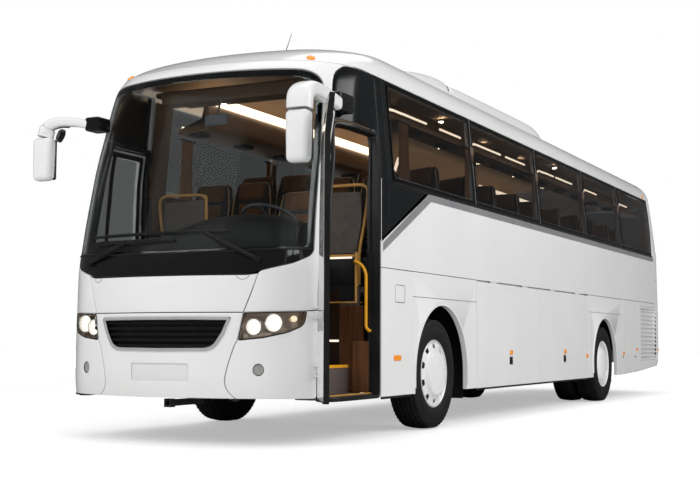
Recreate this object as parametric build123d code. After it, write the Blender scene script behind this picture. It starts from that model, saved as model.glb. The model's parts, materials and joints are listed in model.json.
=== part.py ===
"""Two-axle touring coach, built as separate panels, glass, running gear and cabin fittings.

Units are millimetres.  +X is forwards, +Y is the coach's left, +Z is up, and the ground is at
Z = 0.  Inside this file X is counted from the front axle; `export` moves every piece by
ORIGIN_X so that the finished coach stands over the middle of its own outline.
"""
import os
from math import asin, atan2, cos, radians, sin, sqrt

from build123d import *

os.makedirs("parts", exist_ok=True)

# ---------------------------------------------------------------- driving dimensions
WIDTH = 2550.0              # over the flat sides
HALF = WIDTH / 2
WHEELBASE = 6170.0
REAR_AXLE_X = -WHEELBASE
TYRE_RADIUS = 522.0
TYRE_WIDTH = 295.0
TYRE_FACE_Y = 1254.0        # outer face of the outermost tyres
TWIN_GAP = 45.0             # between the two rear tyres
RIM_RADIUS = 318.0          # where the tyre bead sits
WALL = 50.0                 # side walls, roof and end panels
SKIRT = 46.0                # fixed panels below the belt
FLAP = 40.0                 # moving panels and doors
GLASS = 8.0                 # bonded panes
SEAM = 6.0                  # gap between neighbouring panels
RUNNING = 6.0               # least gap round a panel that moves

SKIRT_Z = 350.0             # lower edge of the sides
BELT_Z = 1465.0             # seam between skirts and waist panels
WAIST_Z = 2240.0            # lower edge of the side glass
EAVE_Z = 3165.0             # upper edge of the side glass
EAVE_HALF = 1190.0          # half width at the eaves
ROOF_RADIUS = 280.0         # bend between side and roof
ROOF_TOP_Z = 3470.0         # crown of the roof on the centre line
FLOOR_Z = 1300.0            # top of the passenger floor
FLOOR = 50.0                # floor thickness

FRONT_JOIN_X = 1280.0       # where the side walls meet the nose, at the rear of the doorways
REAR_JOIN_X = -9300.0       # where the side walls meet the tail
SKIRT_REAR_X = -9500.0      # where the skirts meet the tail
CAP_FRONT_X = 380.0         # where the roof meets its front cap
CAP_REAR_X = -8850.0        # where the roof meets its rear cap

# Nose: the plan is one wide arc with a smaller arc at each corner.
NOSE_RADIUS = 2400.0
NOSE_CENTRE_X = 350.0
CORNER_RADIUS = 680.0
# Each row of the nose: height, how far it lies behind the bumper line, half width there.
NOSE_ROWS = (
    (375.0, 22.0, HALF),
    (570.0, 0.0, HALF),
    (1050.0, 8.0, HALF),
    (1360.0, 15.0, HALF),
    (1700.0, 70.0, HALF),
    (WAIST_Z, 200.0, HALF),
    (2650.0, 305.0, 1237.0),
    (3050.0, 430.0, 1200.6),
    (EAVE_Z, 530.0, EAVE_HALF),
)
CAP_ROWS = (
    (EAVE_Z, 530.0, EAVE_HALF),
    (3250.0, 690.0, 1177.0),
    (3350.0, 960.0, 1120.0),
    (3425.0, 1330.0, 1016.0),
    (3446.0, 1640.0, 900.0),
)
# Tail: the same pattern, turned round.
TAIL_X = -9950.0
TAIL_RADIUS = 5000.0
TAIL_CORNER = 300.0
TAIL_ROWS = (
    (480.0, 20.0, HALF),
    (1300.0, 0.0, HALF),
    (WAIST_Z, 60.0, HALF),
    (2750.0, 125.0, 1228.0),
    (EAVE_Z, 215.0, EAVE_HALF),
)
TAIL_CAP_ROWS = (
    (EAVE_Z, 215.0, EAVE_HALF),
    (3270.0, 290.0, 1168.0),
    (3370.0, 420.0, 1101.0),
    (3430.0, 560.0, 1004.0),
    (3446.0, 640.0, 920.0),
)

BUMPER_TOP_Z = 1047.0       # seam across the nose
SCREEN_SILL_Z = 1360.0
SCREEN_TOP_Z = 3075.0

# Doorways, the same on both sides, cut through wall and nose.
DOOR_REAR_X = FRONT_JOIN_X + 35.0
DOOR_FRONT_X = 2240.0
DOOR_LEAN_X = 1972.0        # front edge at the top
DOOR_LEAN_Z = 1250.0        # height at which the front edge starts to lean back
DOOR_SILL_Z = 375.0
DOOR_TOP_Z = 2615.0
DOOR_HINGE = (2318.0, 1232.0)
DOOR_OPEN_ANGLE = 148.0     # swing of a leaf from shut to wide open
DOOR_FRAME = 35.0           # black frame round the opening
HINGE_RADIUS = 14.0
DOOR_ARM_Z = (560.0, 1020.0)
DOOR_ARM_HEIGHT = 60.0

# Side panels below the belt: rear edge, front edge, kind.
SEAMS_X = (602.0, -1046.0, -3159.0, -5333.0, -7157.0, -8155.0)
FRONT_ARCH = (-110.0, 520.0, 650.0)      # centre x, centre z, radius
REAR_ARCH = (-6165.0, 527.0, 628.0)
ARCH_LIP = 30.0
ARCH_LIP_PROUD = 9.0
LOUVRE_X = (-9446.0, -8310.0)
LOUVRE_Z = (545.0, 1395.0)
LOUVRE_SLATS = 12

# Side glass: the uprights between the panes, rearmost end first.
GLASS_DIVIDERS_X = (-9270.0, -7210.0, -5310.0, -3260.0, -1070.0, 1030.0)
POST = 55.0                 # half width of the wall left behind each upright
STRIP_Z = (2150.0, 2215.0)  # bright strip under the glass
STRIP_FRONT_X = 230.0       # where the strip turns down towards the door
STRIP_DOOR_Z = (1604.0, 1683.0)
STRIP_PROUD = 5.0

# Running gear
KINGPIN_Y = 940.0
KINGPIN_RADIUS = 30.0
KINGPIN_HALF_HEIGHT = 150.0
SPINDLE_RADIUS = 42.0
BEARING_GAP = 0.05          # running clearance of hub on spindle and pin in eye
STEER_LIMIT = 38.0
HUB_RADIUS = 130.0
RAIL_Y = 400.0
REAR_RAIL_Y = 530.0
RAIL_Z = (560.0, 760.0)

# Towing sockets under the bumpers: mouth x, bore z, which way the mouth looks, crossmember x,
# underside of that crossmember
TOW_SOCKETS = (
    (2610.0, 325.0, 1, 2160.0, 600.0),
    (-9850.0, 405.0, -1, -9660.0, 720.0),
)
TOW_LENGTH = 60.0
TOW_HALF = 34.0
TOW_BORE = 20.5
TOW_PLATE = 8.0
JACK_PAD_X = 1400.0
JACK_PAD = 120.0
JACK_PAD_THICK = 20.0
PLATE_SEAT_X = 2722.0       # flat face that the number plate lies on
PLATE_HALF = 275.0
PLATE_EDGES_Z = (505.0, 643.0)
PLATE_Z = 574.0
PLATE_HOLES_Y = 150.0
PLATE_HOLE = 3.0

ENGINE = ((-9620.0, -8260.0), (-490.0, 490.0), (480.0, 1250.0))
HATCH_HALF = 830.0
HATCH_Z = (960.0, 1780.0)
HATCH_FOOT_GAP = 14.0       # room for the lower edge as the hatch swings out

DOOR_TIP_X = 3190.0         # reach of the opened left leaf
ORIGIN_X = (DOOR_TIP_X + TAIL_X) / 2


# ---------------------------------------------------------------- helpers
def block(x, y, z):
    """Box between the corners (x0, x1), (y0, y1), (z0, z1)."""
    (x0, x1), (y0, y1), (z0, z1) = (sorted(pair) for pair in (x, y, z))
    return Pos((x0 + x1) / 2, (y0 + y1) / 2, (z0 + z1) / 2) * Box(x1 - x0, y1 - y0, z1 - z0)


def other_side(shape):
    """The same piece on the coach's right."""
    return mirror(shape, about=Plane.XZ)


def both(shape):
    """A piece and its mirror image, as one compound of separate solids."""
    return Compound(children=list(shape.solids()) + list(other_side(shape).solids()))


def fused(pieces):
    """All the pieces joined."""
    first, *rest = pieces
    return first.fuse(*rest) if rest else first


def gathered(pieces):
    """Separate solids kept side by side in one node."""
    return Compound(children=[solid for piece in pieces for solid in piece.solids()])


def rod(start, end, radius):
    """Round bar from start to end."""
    a, b = Vector(*start), Vector(*end)
    plane = Plane(origin=a, z_dir=(b - a).normalized())
    return Solid.make_cylinder(radius, (b - a).length, plane)


def rail(points, bend, radius):
    """Bent round tube through the points, as straight runs joined by tangent arcs."""
    path = FilletPolyline(*points, radius=bend) if len(points) > 2 else Line(*points)
    start = Plane(origin=path @ 0, z_dir=path % 0)
    return sweep(start * Circle(radius), path=path)


def prism_y(points, y):
    """Flat outline of (x, z) corners, pulled from y[0] to y[1]."""
    y0, y1 = sorted(y)
    wire = Wire.make_polygon([(px, y0, pz) for px, pz in points], close=True)
    return extrude(Face(wire), amount=y1 - y0, dir=(0, 1, 0))


def prism_x(points, x):
    """Flat outline of (y, z) corners, pulled from x[0] to x[1]."""
    x0, x1 = sorted(x)
    wire = Wire.make_polygon([(x0, py, pz) for py, pz in points], close=True)
    return extrude(Face(wire), amount=x1 - x0, dir=(1, 0, 0))


def ring_y(profile, x, z):
    """Turned piece: (radius, y) corners spun about an axle at (x, z)."""
    wire = Wire.make_polygon([(x + r, py, z) for r, py in profile], close=True)
    return revolve(Face(wire), axis=Axis((x, 0, z), (0, 1, 0)))


def export(shape, node):
    """Write one node, moved to the coach's own origin."""
    solids = (Pos(-ORIGIN_X, 0, 0) * shape).solids()
    export_step(solids[0] if len(solids) == 1 else Compound(children=list(solids)),
                f"parts/{node}.step")


# ---------------------------------------------------------------- body outline
def section(x, inset=0.0, bottom=SKIRT_Z):
    """Cross-section of the body at x: upright sides, leaning glass, round eaves, crowned roof."""
    half, eave, radius = HALF - inset, EAVE_HALF - inset, ROOF_RADIUS - inset
    bend_y = EAVE_HALF - ROOF_RADIUS
    bend_z = EAVE_Z
    shoulder_z = bend_z + radius
    mid = (bend_y + radius * cos(radians(45)), bend_z + radius * sin(radians(45)))
    edges = []
    right = [(-half, bottom), (-half, WAIST_Z), (-eave, EAVE_Z)]
    for (y0, z0), (y1, z1) in zip(right, right[1:]):
        edges.append(Edge.make_line((x, y0, z0), (x, y1, z1)))
    edges.append(Edge.make_three_point_arc((x, -eave, EAVE_Z), (x, -mid[0], mid[1]),
                                           (x, -bend_y, shoulder_z)))
    edges.append(Edge.make_three_point_arc((x, -bend_y, shoulder_z), (x, 0, ROOF_TOP_Z - inset),
                                           (x, bend_y, shoulder_z)))
    edges.append(Edge.make_three_point_arc((x, bend_y, shoulder_z), (x, mid[0], mid[1]),
                                           (x, eave, EAVE_Z)))
    edges.append(Edge.make_line((x, eave, EAVE_Z), (x, half, WAIST_Z)))
    edges.append(Edge.make_line((x, half, WAIST_Z), (x, half, bottom)))
    edges.append(Edge.make_line((x, half, bottom), (x, -half, bottom)))
    return Face(Wire(edges))


def tube(x0, x1, outer=0.0, inner=WALL):
    """Body wall between two insets, from x0 to x1."""
    face = section(x0, outer) - section(x0, inner, bottom=SKIRT_Z - 10)
    return extrude(face, amount=x1 - x0, dir=(1, 0, 0))


def end_outline(z, back, half, inset, centre_x, radius, corner, join_x, sense):
    """Plan of the nose (sense +1) or the tail (sense -1) at height z."""
    r_front, r_corner, w = radius - inset, corner - inset, half - inset
    cy = w - r_corner
    reach = sqrt((r_front - r_corner) ** 2 - cy ** 2)
    arc_x = centre_x - sense * back
    corner_x = arc_x + sense * reach
    turn = atan2(cy, reach)                      # where the wide arc hands over to the corner
    touch = (arc_x + sense * r_front * cos(turn), r_front * sin(turn))
    half_turn = (turn + radians(90)) / 2
    bend = (corner_x + sense * r_corner * cos(half_turn), cy + r_corner * sin(half_turn))
    nose = (arc_x + sense * r_front, 0)
    left = [
        Edge.make_line((join_x, w, z), (corner_x, w, z)),
        Edge.make_three_point_arc((corner_x, w, z), (bend[0], bend[1], z), (touch[0], touch[1], z)),
    ]
    front = Edge.make_three_point_arc((touch[0], touch[1], z), (nose[0], 0, z),
                                      (touch[0], -touch[1], z))
    right = [
        Edge.make_three_point_arc((touch[0], -touch[1], z), (bend[0], -bend[1], z),
                                  (corner_x, -w, z)),
        Edge.make_line((corner_x, -w, z), (join_x, -w, z)),
    ]
    back_edge = Edge.make_line((join_x, -w, z), (join_x, w, z))
    return Face(Wire(left + [front] + right + [back_edge]))


def nose_solid(rows, join_x, inset=0.0):
    """Solid nose through its rows, shrunk by inset."""
    faces = [end_outline(z, back, half, inset, NOSE_CENTRE_X, NOSE_RADIUS, CORNER_RADIUS,
                         join_x, 1) for z, back, half in rows]
    return loft(faces, ruled=True)


def tail_solid(rows, join_x, inset=0.0):
    """Solid tail through its rows, shrunk by inset."""
    centre = TAIL_X + TAIL_RADIUS
    faces = [end_outline(z, back, half, inset, centre, TAIL_RADIUS, TAIL_CORNER,
                         join_x, -1) for z, back, half in rows]
    return loft(faces, ruled=True)


def plan_tool(inset):
    """Upright prism of the nose's widest plan, shrunk by inset."""
    low = end_outline(0.0, NOSE_ROWS[0][1], HALF, inset, NOSE_CENTRE_X, NOSE_RADIUS,
                      CORNER_RADIUS, 0.0, 1)
    return extrude(low, amount=PLATFORM_Z + 20, dir=(0, 0, 1))


def wall_inner_y(z):
    """Inner face of the side wall at height z."""
    lean = max(0.0, z - WAIST_Z) / (EAVE_Z - WAIST_Z)
    return HALF - WALL - (HALF - EAVE_HALF) * lean


def front_x(z, inset=0.0):
    """Foremost point of the nose at height z."""
    for (z0, b0, _), (z1, b1, _) in zip(NOSE_ROWS, NOSE_ROWS[1:]):
        if z0 <= z <= z1:
            return NOSE_CENTRE_X + NOSE_RADIUS - inset - (b0 + (b1 - b0) * (z - z0) / (z1 - z0))
    return NOSE_CENTRE_X + NOSE_RADIUS - inset


# ---------------------------------------------------------------- shells shared by the panels
nose_shell = nose_solid(NOSE_ROWS, FRONT_JOIN_X) - nose_solid(NOSE_ROWS, FRONT_JOIN_X - 10, WALL)
tail_shell = tail_solid(TAIL_ROWS, REAR_JOIN_X) - tail_solid(TAIL_ROWS, REAR_JOIN_X + 10, WALL)
wall_shell = tube(REAR_JOIN_X, FRONT_JOIN_X)

FAR = 12000.0               # anything larger than the coach
LEFT = (0.0, FAR)
ALL_X = (-FAR, FAR)
ALL_Y = (-FAR, FAR)


def door_cut(gap):
    """Upright prism that cuts the doorway, grown by gap on every edge."""
    points = [(DOOR_REAR_X - gap, DOOR_SILL_Z - gap), (DOOR_FRONT_X + gap, DOOR_SILL_Z - gap),
              (DOOR_FRONT_X + gap, DOOR_LEAN_Z), (DOOR_LEAN_X + gap, DOOR_TOP_Z + gap),
              (DOOR_REAR_X - gap, DOOR_TOP_Z + gap)]
    return prism_y(points, (600.0, HALF + 100))


# ---------------------------------------------------------------- nose panels
def make_nose():
    doorways = both(door_cut(DOOR_FRAME))
    below = nose_shell & block(ALL_X, ALL_Y, (375.0, BUMPER_TOP_Z))
    bumper = below - doorways
    plate = block((PLATE_SEAT_X, 2800.0), (-PLATE_HALF, PLATE_HALF), PLATE_EDGES_Z)
    grille_hole = prism_x([(-600, 1016), (-484, 742), (484, 742), (600, 1016)], (2500.0, 2800.0))
    bumper = bumper - plate
    holes = both(rod((2600, PLATE_HOLES_Y, PLATE_Z), (2800, PLATE_HOLES_Y, PLATE_Z), PLATE_HOLE))
    bumper = bumper - grille_hole - holes
    lamp_hole = both(prism_x([(650, 830), (1010, 900), (1125, 950), (1140, 1060), (1140, 1100),
                              (720, 1100), (720, 1036)], (2100.0, 2800.0)))
    fog = both(rod((2400, 838, 600), (2800, 838, 600), 46))
    bumper = bumper - lamp_hole - fog
    panel = (nose_shell & block(ALL_X, ALL_Y, (BUMPER_TOP_Z + SEAM, SCREEN_SILL_Z - 20)))
    panel = panel - doorways
    grille = grille_bars(grille_hole)
    lamps = (nose_solid(NOSE_ROWS, 0, 4) - nose_solid(NOSE_ROWS, 0, 34)) & lamp_hole
    lamps = lamps & block(ALL_X, ALL_Y, (700.0, BUMPER_TOP_Z))
    fogs = both(rod((2500, 838, 600), (2597, 838, 600), 45.7))
    return bumper, panel, grille, lamps, fogs


def grille_bars(hole):
    """Backing plate and level slats that fill the opening in the bumper."""
    depth = nose_solid(NOSE_ROWS, 0, 20) - nose_solid(NOSE_ROWS, 0, 46)
    back = nose_solid(NOSE_ROWS, 0, 36) - nose_solid(NOSE_ROWS, 0, 46)
    slats = [block((2400, 2800), ALL_Y, (z, z + 22)) for z in range(776, 1000, 56)]
    return (back & hole) + fused([depth & hole & slat for slat in slats])


# Right half of the windscreen's outline, seen from ahead: distance from the middle, height.
SCREEN_OUTLINE = (
    (740.0, SCREEN_SILL_Z - 30), (830.0, SCREEN_SILL_Z + 15), (1060.0, SCREEN_SILL_Z + 85),
    (1165.0, SCREEN_SILL_Z + 165), (1094.0, SCREEN_TOP_Z - 150), (1066.0, SCREEN_TOP_Z - 50),
    (970.0, SCREEN_TOP_Z),
)
# Dark panel over each doorway, seen from the side: x, z.
OVER_DOOR_OUTLINE = (
    (FRONT_JOIN_X + SEAM, DOOR_TOP_Z + DOOR_FRAME + SEAM),
    (1990.0, DOOR_TOP_Z + DOOR_FRAME + SEAM), (1940.0, 2863.0), (1893.0, 3017.0),
    (1825.0, 3099.0), (1730.0, 3146.0), (FRONT_JOIN_X + SEAM, EAVE_Z - SEAM),
)


def make_screen():
    """Windscreen, the pillars and header that frame it, and the dark panels over the doors."""
    outline = prism_x([(-y, z) for y, z in SCREEN_OUTLINE[::-1]] + list(SCREEN_OUTLINE),
                      (1500.0, 2900.0))
    band = block(ALL_X, ALL_Y, (SCREEN_SILL_Z - 20 + SEAM, EAVE_Z))
    skin = nose_solid(NOSE_ROWS, FRONT_JOIN_X) - nose_solid(NOSE_ROWS, FRONT_JOIN_X - 10, GLASS)
    over_doors = both(skin & prism_y(OVER_DOOR_OUTLINE, (600.0, HALF + 100)))
    frame = (nose_shell & band) - both(door_cut(DOOR_FRAME)) - outline - over_doors
    return frame, skin & outline & band, over_doors


def make_caps():
    front = nose_solid(CAP_ROWS, CAP_FRONT_X) - (
        nose_solid(CAP_ROWS[:-1], CAP_FRONT_X - 10, WALL) & block(ALL_X, ALL_Y, (EAVE_Z, 3396.0)))
    rear = tail_solid(TAIL_CAP_ROWS, CAP_REAR_X) - (
        tail_solid(TAIL_CAP_ROWS[:-1], CAP_REAR_X + 10, WALL)
        & block(ALL_X, ALL_Y, (EAVE_Z, 3396.0)))
    return front, rear


# ---------------------------------------------------------------- side walls, glass and trim
def glass_bays():
    """(rear, front) of each side pane."""
    return list(zip(GLASS_DIVIDERS_X, GLASS_DIVIDERS_X[1:]))


def dark_panel_outline(gap):
    """Dark panel between the first pane, the bright strip and the doorway."""
    x_front = DOOR_REAR_X - DOOR_FRAME - SEAM
    return [(GLASS_DIVIDERS_X[-1] + gap, EAVE_Z - gap), (x_front, EAVE_Z - gap),
            (x_front, STRIP_DOOR_Z[1] + 30), (STRIP_FRONT_X + 60, WAIST_Z - 20),
            (GLASS_DIVIDERS_X[-1] + gap, WAIST_Z - 20)]


def make_side():
    """Left wall, its panes, and the bright strip."""
    wall = wall_shell & block((REAR_JOIN_X, FRONT_JOIN_X), LEFT, (BELT_Z + SEAM / 2, EAVE_Z))
    skin = tube(REAR_JOIN_X, FRONT_JOIN_X, 0.0, GLASS)
    panes = []
    for rear, front in glass_bays():
        wall = wall - block((rear + POST, front - POST), LEFT, (WAIST_Z + 50, EAVE_Z - 50))
        panes.append(skin & block((rear + SEAM / 2, front - SEAM / 2), LEFT, (WAIST_Z, EAVE_Z)))
    dark = skin & prism_y(dark_panel_outline(SEAM / 2), LEFT)
    recess = block((GLASS_DIVIDERS_X[0], FRONT_JOIN_X), LEFT, (WAIST_Z, EAVE_Z)) \
        + prism_y(dark_panel_outline(0), LEFT)
    wall = wall - (skin & recess) - door_cut(DOOR_FRAME)
    low, high = STRIP_Z
    strip = prism_y([(GLASS_DIVIDERS_X[0], low), (STRIP_FRONT_X - 60, low),
                     (FRONT_JOIN_X - 30, STRIP_DOOR_Z[0]), (FRONT_JOIN_X - 30, STRIP_DOOR_Z[1]),
                     (STRIP_FRONT_X, high), (GLASS_DIVIDERS_X[0], high)],
                    (HALF, HALF + STRIP_PROUD))
    return wall, gathered(panes + [dark]), strip


def arch_cut(arch, y):
    """Round-topped wheel opening through the panels at y."""
    x, z, radius = arch
    plane = Plane(origin=(x, y[0], z), z_dir=(0, 1, 0))
    hole = Solid.make_cylinder(radius, y[1] - y[0], plane)
    return hole + block((x - radius, x + radius), y, (0, z))


def make_skirts():
    """Fixed panels below the belt on the left."""
    y = (HALF - SKIRT, HALF)
    top = BELT_Z - SEAM / 2
    panels = []
    # rear edge, front edge, lower edge at the rear, lower edge at the front
    spans = (
        (SEAMS_X[0], DOOR_REAR_X - DOOR_FRAME - SEAM, SKIRT_Z, SKIRT_Z),
        (SEAMS_X[1], SEAMS_X[0], SKIRT_Z, SKIRT_Z),
        (SEAMS_X[4], SEAMS_X[3], SKIRT_Z, SKIRT_Z),
        (SEAMS_X[5], SEAMS_X[4], 372.0, SKIRT_Z),
        (SKIRT_REAR_X, SEAMS_X[5], 440.0, 372.0),
    )
    for rear, front, z_rear, z_front in spans:
        a, b = rear + SEAM / 2, front - SEAM / 2
        panels.append(prism_y([(a, z_rear), (b, z_front), (b, top), (a, top)], y))
    for number, arch in ((1, FRONT_ARCH), (2, REAR_ARCH)):
        x, z, radius = arch
        plane = Plane(origin=(x, y[1], z), z_dir=(0, 1, 0))
        lip = Solid.make_cylinder(radius + ARCH_LIP, ARCH_LIP_PROUD, plane)
        lip = lip & block((x - FAR, x + FAR), LEFT, (z - 120, FAR))
        panels[number] = (panels[number] + lip) - arch_cut(arch, (y[0] - 5, y[1] + 20))
    louvre = block(LOUVRE_X, (y[0] - 5, y[1] + 5), LOUVRE_Z)
    panels[4] = panels[4] - louvre
    return gathered(panels)


def make_louvre():
    """Slatted grille on the left rear quarter, in a frame."""
    y = (HALF - SKIRT, HALF)
    gap = SEAM / 2
    x0, x1 = LOUVRE_X[0] + gap, LOUVRE_X[1] - gap
    z0, z1 = LOUVRE_Z[0] + gap, LOUVRE_Z[1] - gap
    frame = block((x0, x1), y, (z0, z1)) \
        - block((x0 + 30, x1 - 30), (y[0] + 12, y[1] + 5), (z0 + 30, z1 - 30))
    pitch = (z1 - z0 - 60) / LOUVRE_SLATS
    slats = [block((x0 + 20, x1 - 20), (y[0] + 6, y[1] - 4), (z, z + 20))
             for z in (z0 + 30 + (number + 0.5) * pitch - 10 for number in range(LOUVRE_SLATS))]
    return fused([frame] + slats)


KNUCKLE_RADIUS = 6.0
FLAP_HINGE_Z = BELT_Z - KNUCKLE_RADIUS
KNUCKLE = 60.0              # length of one hinge knuckle
KNUCKLE_GAP = 0.5


def flap_hinges(rear, front):
    """Middles of the two hinges of a luggage flap."""
    third = (front - rear) / 4
    return rear + third, front - third


def make_flap(rear, front):
    """Left luggage flap between two seams, hung from the belt."""
    z_top = FLAP_HINGE_Z - KNUCKLE_RADIUS - 2
    body = block((rear + RUNNING / 2, front - RUNNING / 2), (HALF - FLAP, HALF), (SKIRT_Z, z_top))
    y, z = HALF - KNUCKLE_RADIUS, FLAP_HINGE_Z
    for middle in flap_hinges(rear, front):
        knuckle = rod((middle - KNUCKLE / 2, y, z), (middle + KNUCKLE / 2, y, z), KNUCKLE_RADIUS)
        tab = block((middle - KNUCKLE / 2, middle + KNUCKLE / 2),
                    (y - 4, y + 4), (z_top - 2, z))
        body = body + knuckle + tab
    return body


def make_side_frame():
    """Posts and rails behind the left skirts, and the fixed hinge knuckles of the flaps."""
    y = (HALF - SKIRT - 50, HALF - SKIRT)
    posts = [block((x - 30, x + 30), y, (SKIRT_Z + 40, FLOOR_Z - FLOOR)) for x in SEAMS_X]
    posts.append(block((1170, 1222), y, (SKIRT_Z + 40, FLOOR_Z - FLOOR)))
    posts.append(block((SKIRT_REAR_X, SKIRT_REAR_X + 60), y, (SKIRT_Z + 120, FLOOR_Z - FLOOR)))
    top = block((SKIRT_REAR_X, 1222), y, (FLOOR_Z - FLOOR - 60, FLOOR_Z - FLOOR))
    low = block((SEAMS_X[3], SEAMS_X[1]), y, (SKIRT_Z + 40, SKIRT_Z + 90))
    return fused([top, low] + posts)


def make_belt_rail():
    """Rail under the waist panels that the flaps hang from."""
    y = (HALF - WALL, HALF - FLAP - RUNNING)
    pieces = [block((SEAMS_X[3] + 20, SEAMS_X[1] - 20), y, (FLOOR_Z, BELT_Z + SEAM / 2))]
    hinge_y = HALF - KNUCKLE_RADIUS
    for rear, front in ((SEAMS_X[2], SEAMS_X[1]), (SEAMS_X[3], SEAMS_X[2])):
        for middle in flap_hinges(rear, front):
            for side in (-1, 1):
                a = middle + side * (KNUCKLE / 2 + KNUCKLE_GAP)
                b = a + side * KNUCKLE
                pieces.append(rod((min(a, b), hinge_y, FLAP_HINGE_Z),
                                  (max(a, b), hinge_y, FLAP_HINGE_Z), KNUCKLE_RADIUS))
                pieces.append(block((a, b), (hinge_y - 4, hinge_y + 4),
                                    (FLAP_HINGE_Z, BELT_Z + SEAM / 2 + 4)))
    return pieces


# ---------------------------------------------------------------- doors
def door_slab(outer, inner, gap):
    """Curved slab of the doorway's shape between two insets from the outer skin."""
    skin = nose_solid(NOSE_ROWS, FRONT_JOIN_X, outer) \
        - nose_solid(NOSE_ROWS, FRONT_JOIN_X - 10, inner)
    return skin & door_cut(gap) & block(ALL_X, LEFT, (0, FAR))


def make_door():
    """Left leaf in its shut place: a frame, its long pane and two hinge arms."""
    leaf = door_slab(0.0, FLAP, -RUNNING)
    window = prism_y([(DOOR_REAR_X + 90, 900), (DOOR_FRONT_X - 90, 900),
                      (DOOR_FRONT_X - 90, DOOR_LEAN_Z), (DOOR_LEAN_X - 80, DOOR_TOP_Z - 90),
                      (DOOR_REAR_X + 90, DOOR_TOP_Z - 90)], (600.0, HALF + 100))
    pane = door_slab(4.0, 4.0 + GLASS, -RUNNING) & window
    leaf = leaf - window
    x, y = DOOR_HINGE
    arms = []
    for z in DOOR_ARM_Z:
        boss = rod((x, y, z), (x, y, z + DOOR_ARM_HEIGHT), HINGE_RADIUS)
        arm = prism_z([(x - 4, y - 10), (x - 4, y + 10), (DOOR_FRONT_X - 78, 1262),
                       (DOOR_FRONT_X - 78, 1226), (DOOR_FRONT_X - 40, y - 10)],
                      (z + 5, z + DOOR_ARM_HEIGHT - 5))
        arms += [boss, arm]
    return fused([leaf] + arms), pane


def prism_z(points, z):
    """Flat outline of (x, y) corners, pulled from z[0] to z[1]."""
    wire = Wire.make_polygon([(px, py, z[0]) for px, py in points], close=True)
    return extrude(Face(wire), amount=z[1] - z[0], dir=(0, 0, 1))


def opened(shape):
    """A left leaf swung wide open about its hinge."""
    x, y = DOOR_HINGE
    return Pos(x, y, 0) * Rot(0, 0, -DOOR_OPEN_ANGLE) * Pos(-x, -y, 0) * shape


def make_door_brackets():
    """Left hinge brackets on the nose panel, one under and one over each arm's boss."""
    x, y = DOOR_HINGE
    pieces = []
    for z in DOOR_ARM_Z:
        for low in (z - 20.5, z + DOOR_ARM_HEIGHT + 0.5):
            eye = rod((x, y, low), (x, y, low + 20), HINGE_RADIUS)
            web = block((x - HINGE_RADIUS, x + HINGE_RADIUS), (1130, y), (low, low + 20))
            pieces.append(eye + (web - nose_solid(NOSE_ROWS, 0)))
    return pieces


def make_door_frames():
    """Black frames lining both doorways."""
    lining = door_slab(0.0, WALL + 60, DOOR_FRAME) - door_cut(0)
    rear = block((DOOR_REAR_X - DOOR_FRAME, DOOR_REAR_X), (1080, HALF),
                 (DOOR_SILL_Z, DOOR_TOP_Z))
    return lining + (rear & tube(FRONT_JOIN_X - 20, DOOR_REAR_X, 0.0, WALL + 150))


# ---------------------------------------------------------------- tail panels
def make_tail():
    window = block((-FAR, REAR_JOIN_X - 250), (-960, 960), (2230, 3060))
    hatch_hole = block((-FAR, REAR_JOIN_X - 250), (-HATCH_HALF, HATCH_HALF), HATCH_Z)
    lower_z = HATCH_Z[0] - RUNNING
    bumper = tail_shell & block((-FAR, SKIRT_REAR_X), ALL_Y, (480.0, lower_z - 250))
    corner = tail_shell & block(ALL_X, ALL_Y, (lower_z - 250 + SEAM, HATCH_Z[1] + 60))
    upper = tail_shell & block(ALL_X, ALL_Y, (HATCH_Z[1] + 60 + SEAM, EAVE_Z))
    corner = corner - hatch_hole - block((SKIRT_REAR_X, FAR), ALL_Y, (0, BELT_Z))
    upper = upper - window
    skin = tail_solid(TAIL_ROWS, REAR_JOIN_X, 0) - tail_solid(TAIL_ROWS, REAR_JOIN_X + 10, GLASS)
    glass = skin & window
    inner = block((-FAR, REAR_JOIN_X - 250), (-HATCH_HALF + RUNNING, HATCH_HALF - RUNNING),
                  (HATCH_Z[0] + HATCH_FOOT_GAP, HATCH_Z[1] - 2 * KNUCKLE_RADIUS - 2))
    leaf = (tail_solid(TAIL_ROWS, REAR_JOIN_X, 0)
            - tail_solid(TAIL_ROWS, REAR_JOIN_X + 10, FLAP)) & inner
    lamps = both((tail_solid(TAIL_ROWS, REAR_JOIN_X, -6)
                  - tail_solid(TAIL_ROWS, REAR_JOIN_X + 10, 0))
                 & block((-FAR, -9700), (HATCH_HALF + 90, FAR), (844, 1254)))
    return bumper, corner, upper, glass, leaf, lamps


HATCH_HINGE_Y = 500.0
HATCH_HINGE_Z = HATCH_Z[1] - KNUCKLE_RADIUS


def tail_x(y, z):
    """Outer face of the tail at (y, z), between its corners."""
    for (z0, b0, _), (z1, b1, _) in zip(TAIL_ROWS, TAIL_ROWS[1:]):
        if z0 <= z <= z1:
            back = b0 + (b1 - b0) * (z - z0) / (z1 - z0)
    return TAIL_X + back + TAIL_RADIUS - sqrt(TAIL_RADIUS ** 2 - y ** 2)


HATCH_HINGE = (tail_x(0.0, HATCH_HINGE_Z) - KNUCKLE_RADIUS, HATCH_HINGE_Z)
HATCH_ARM = tail_x(HATCH_HINGE_Y + 1.5 * KNUCKLE, HATCH_HINGE_Z) - HATCH_HINGE[0] + 6


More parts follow.
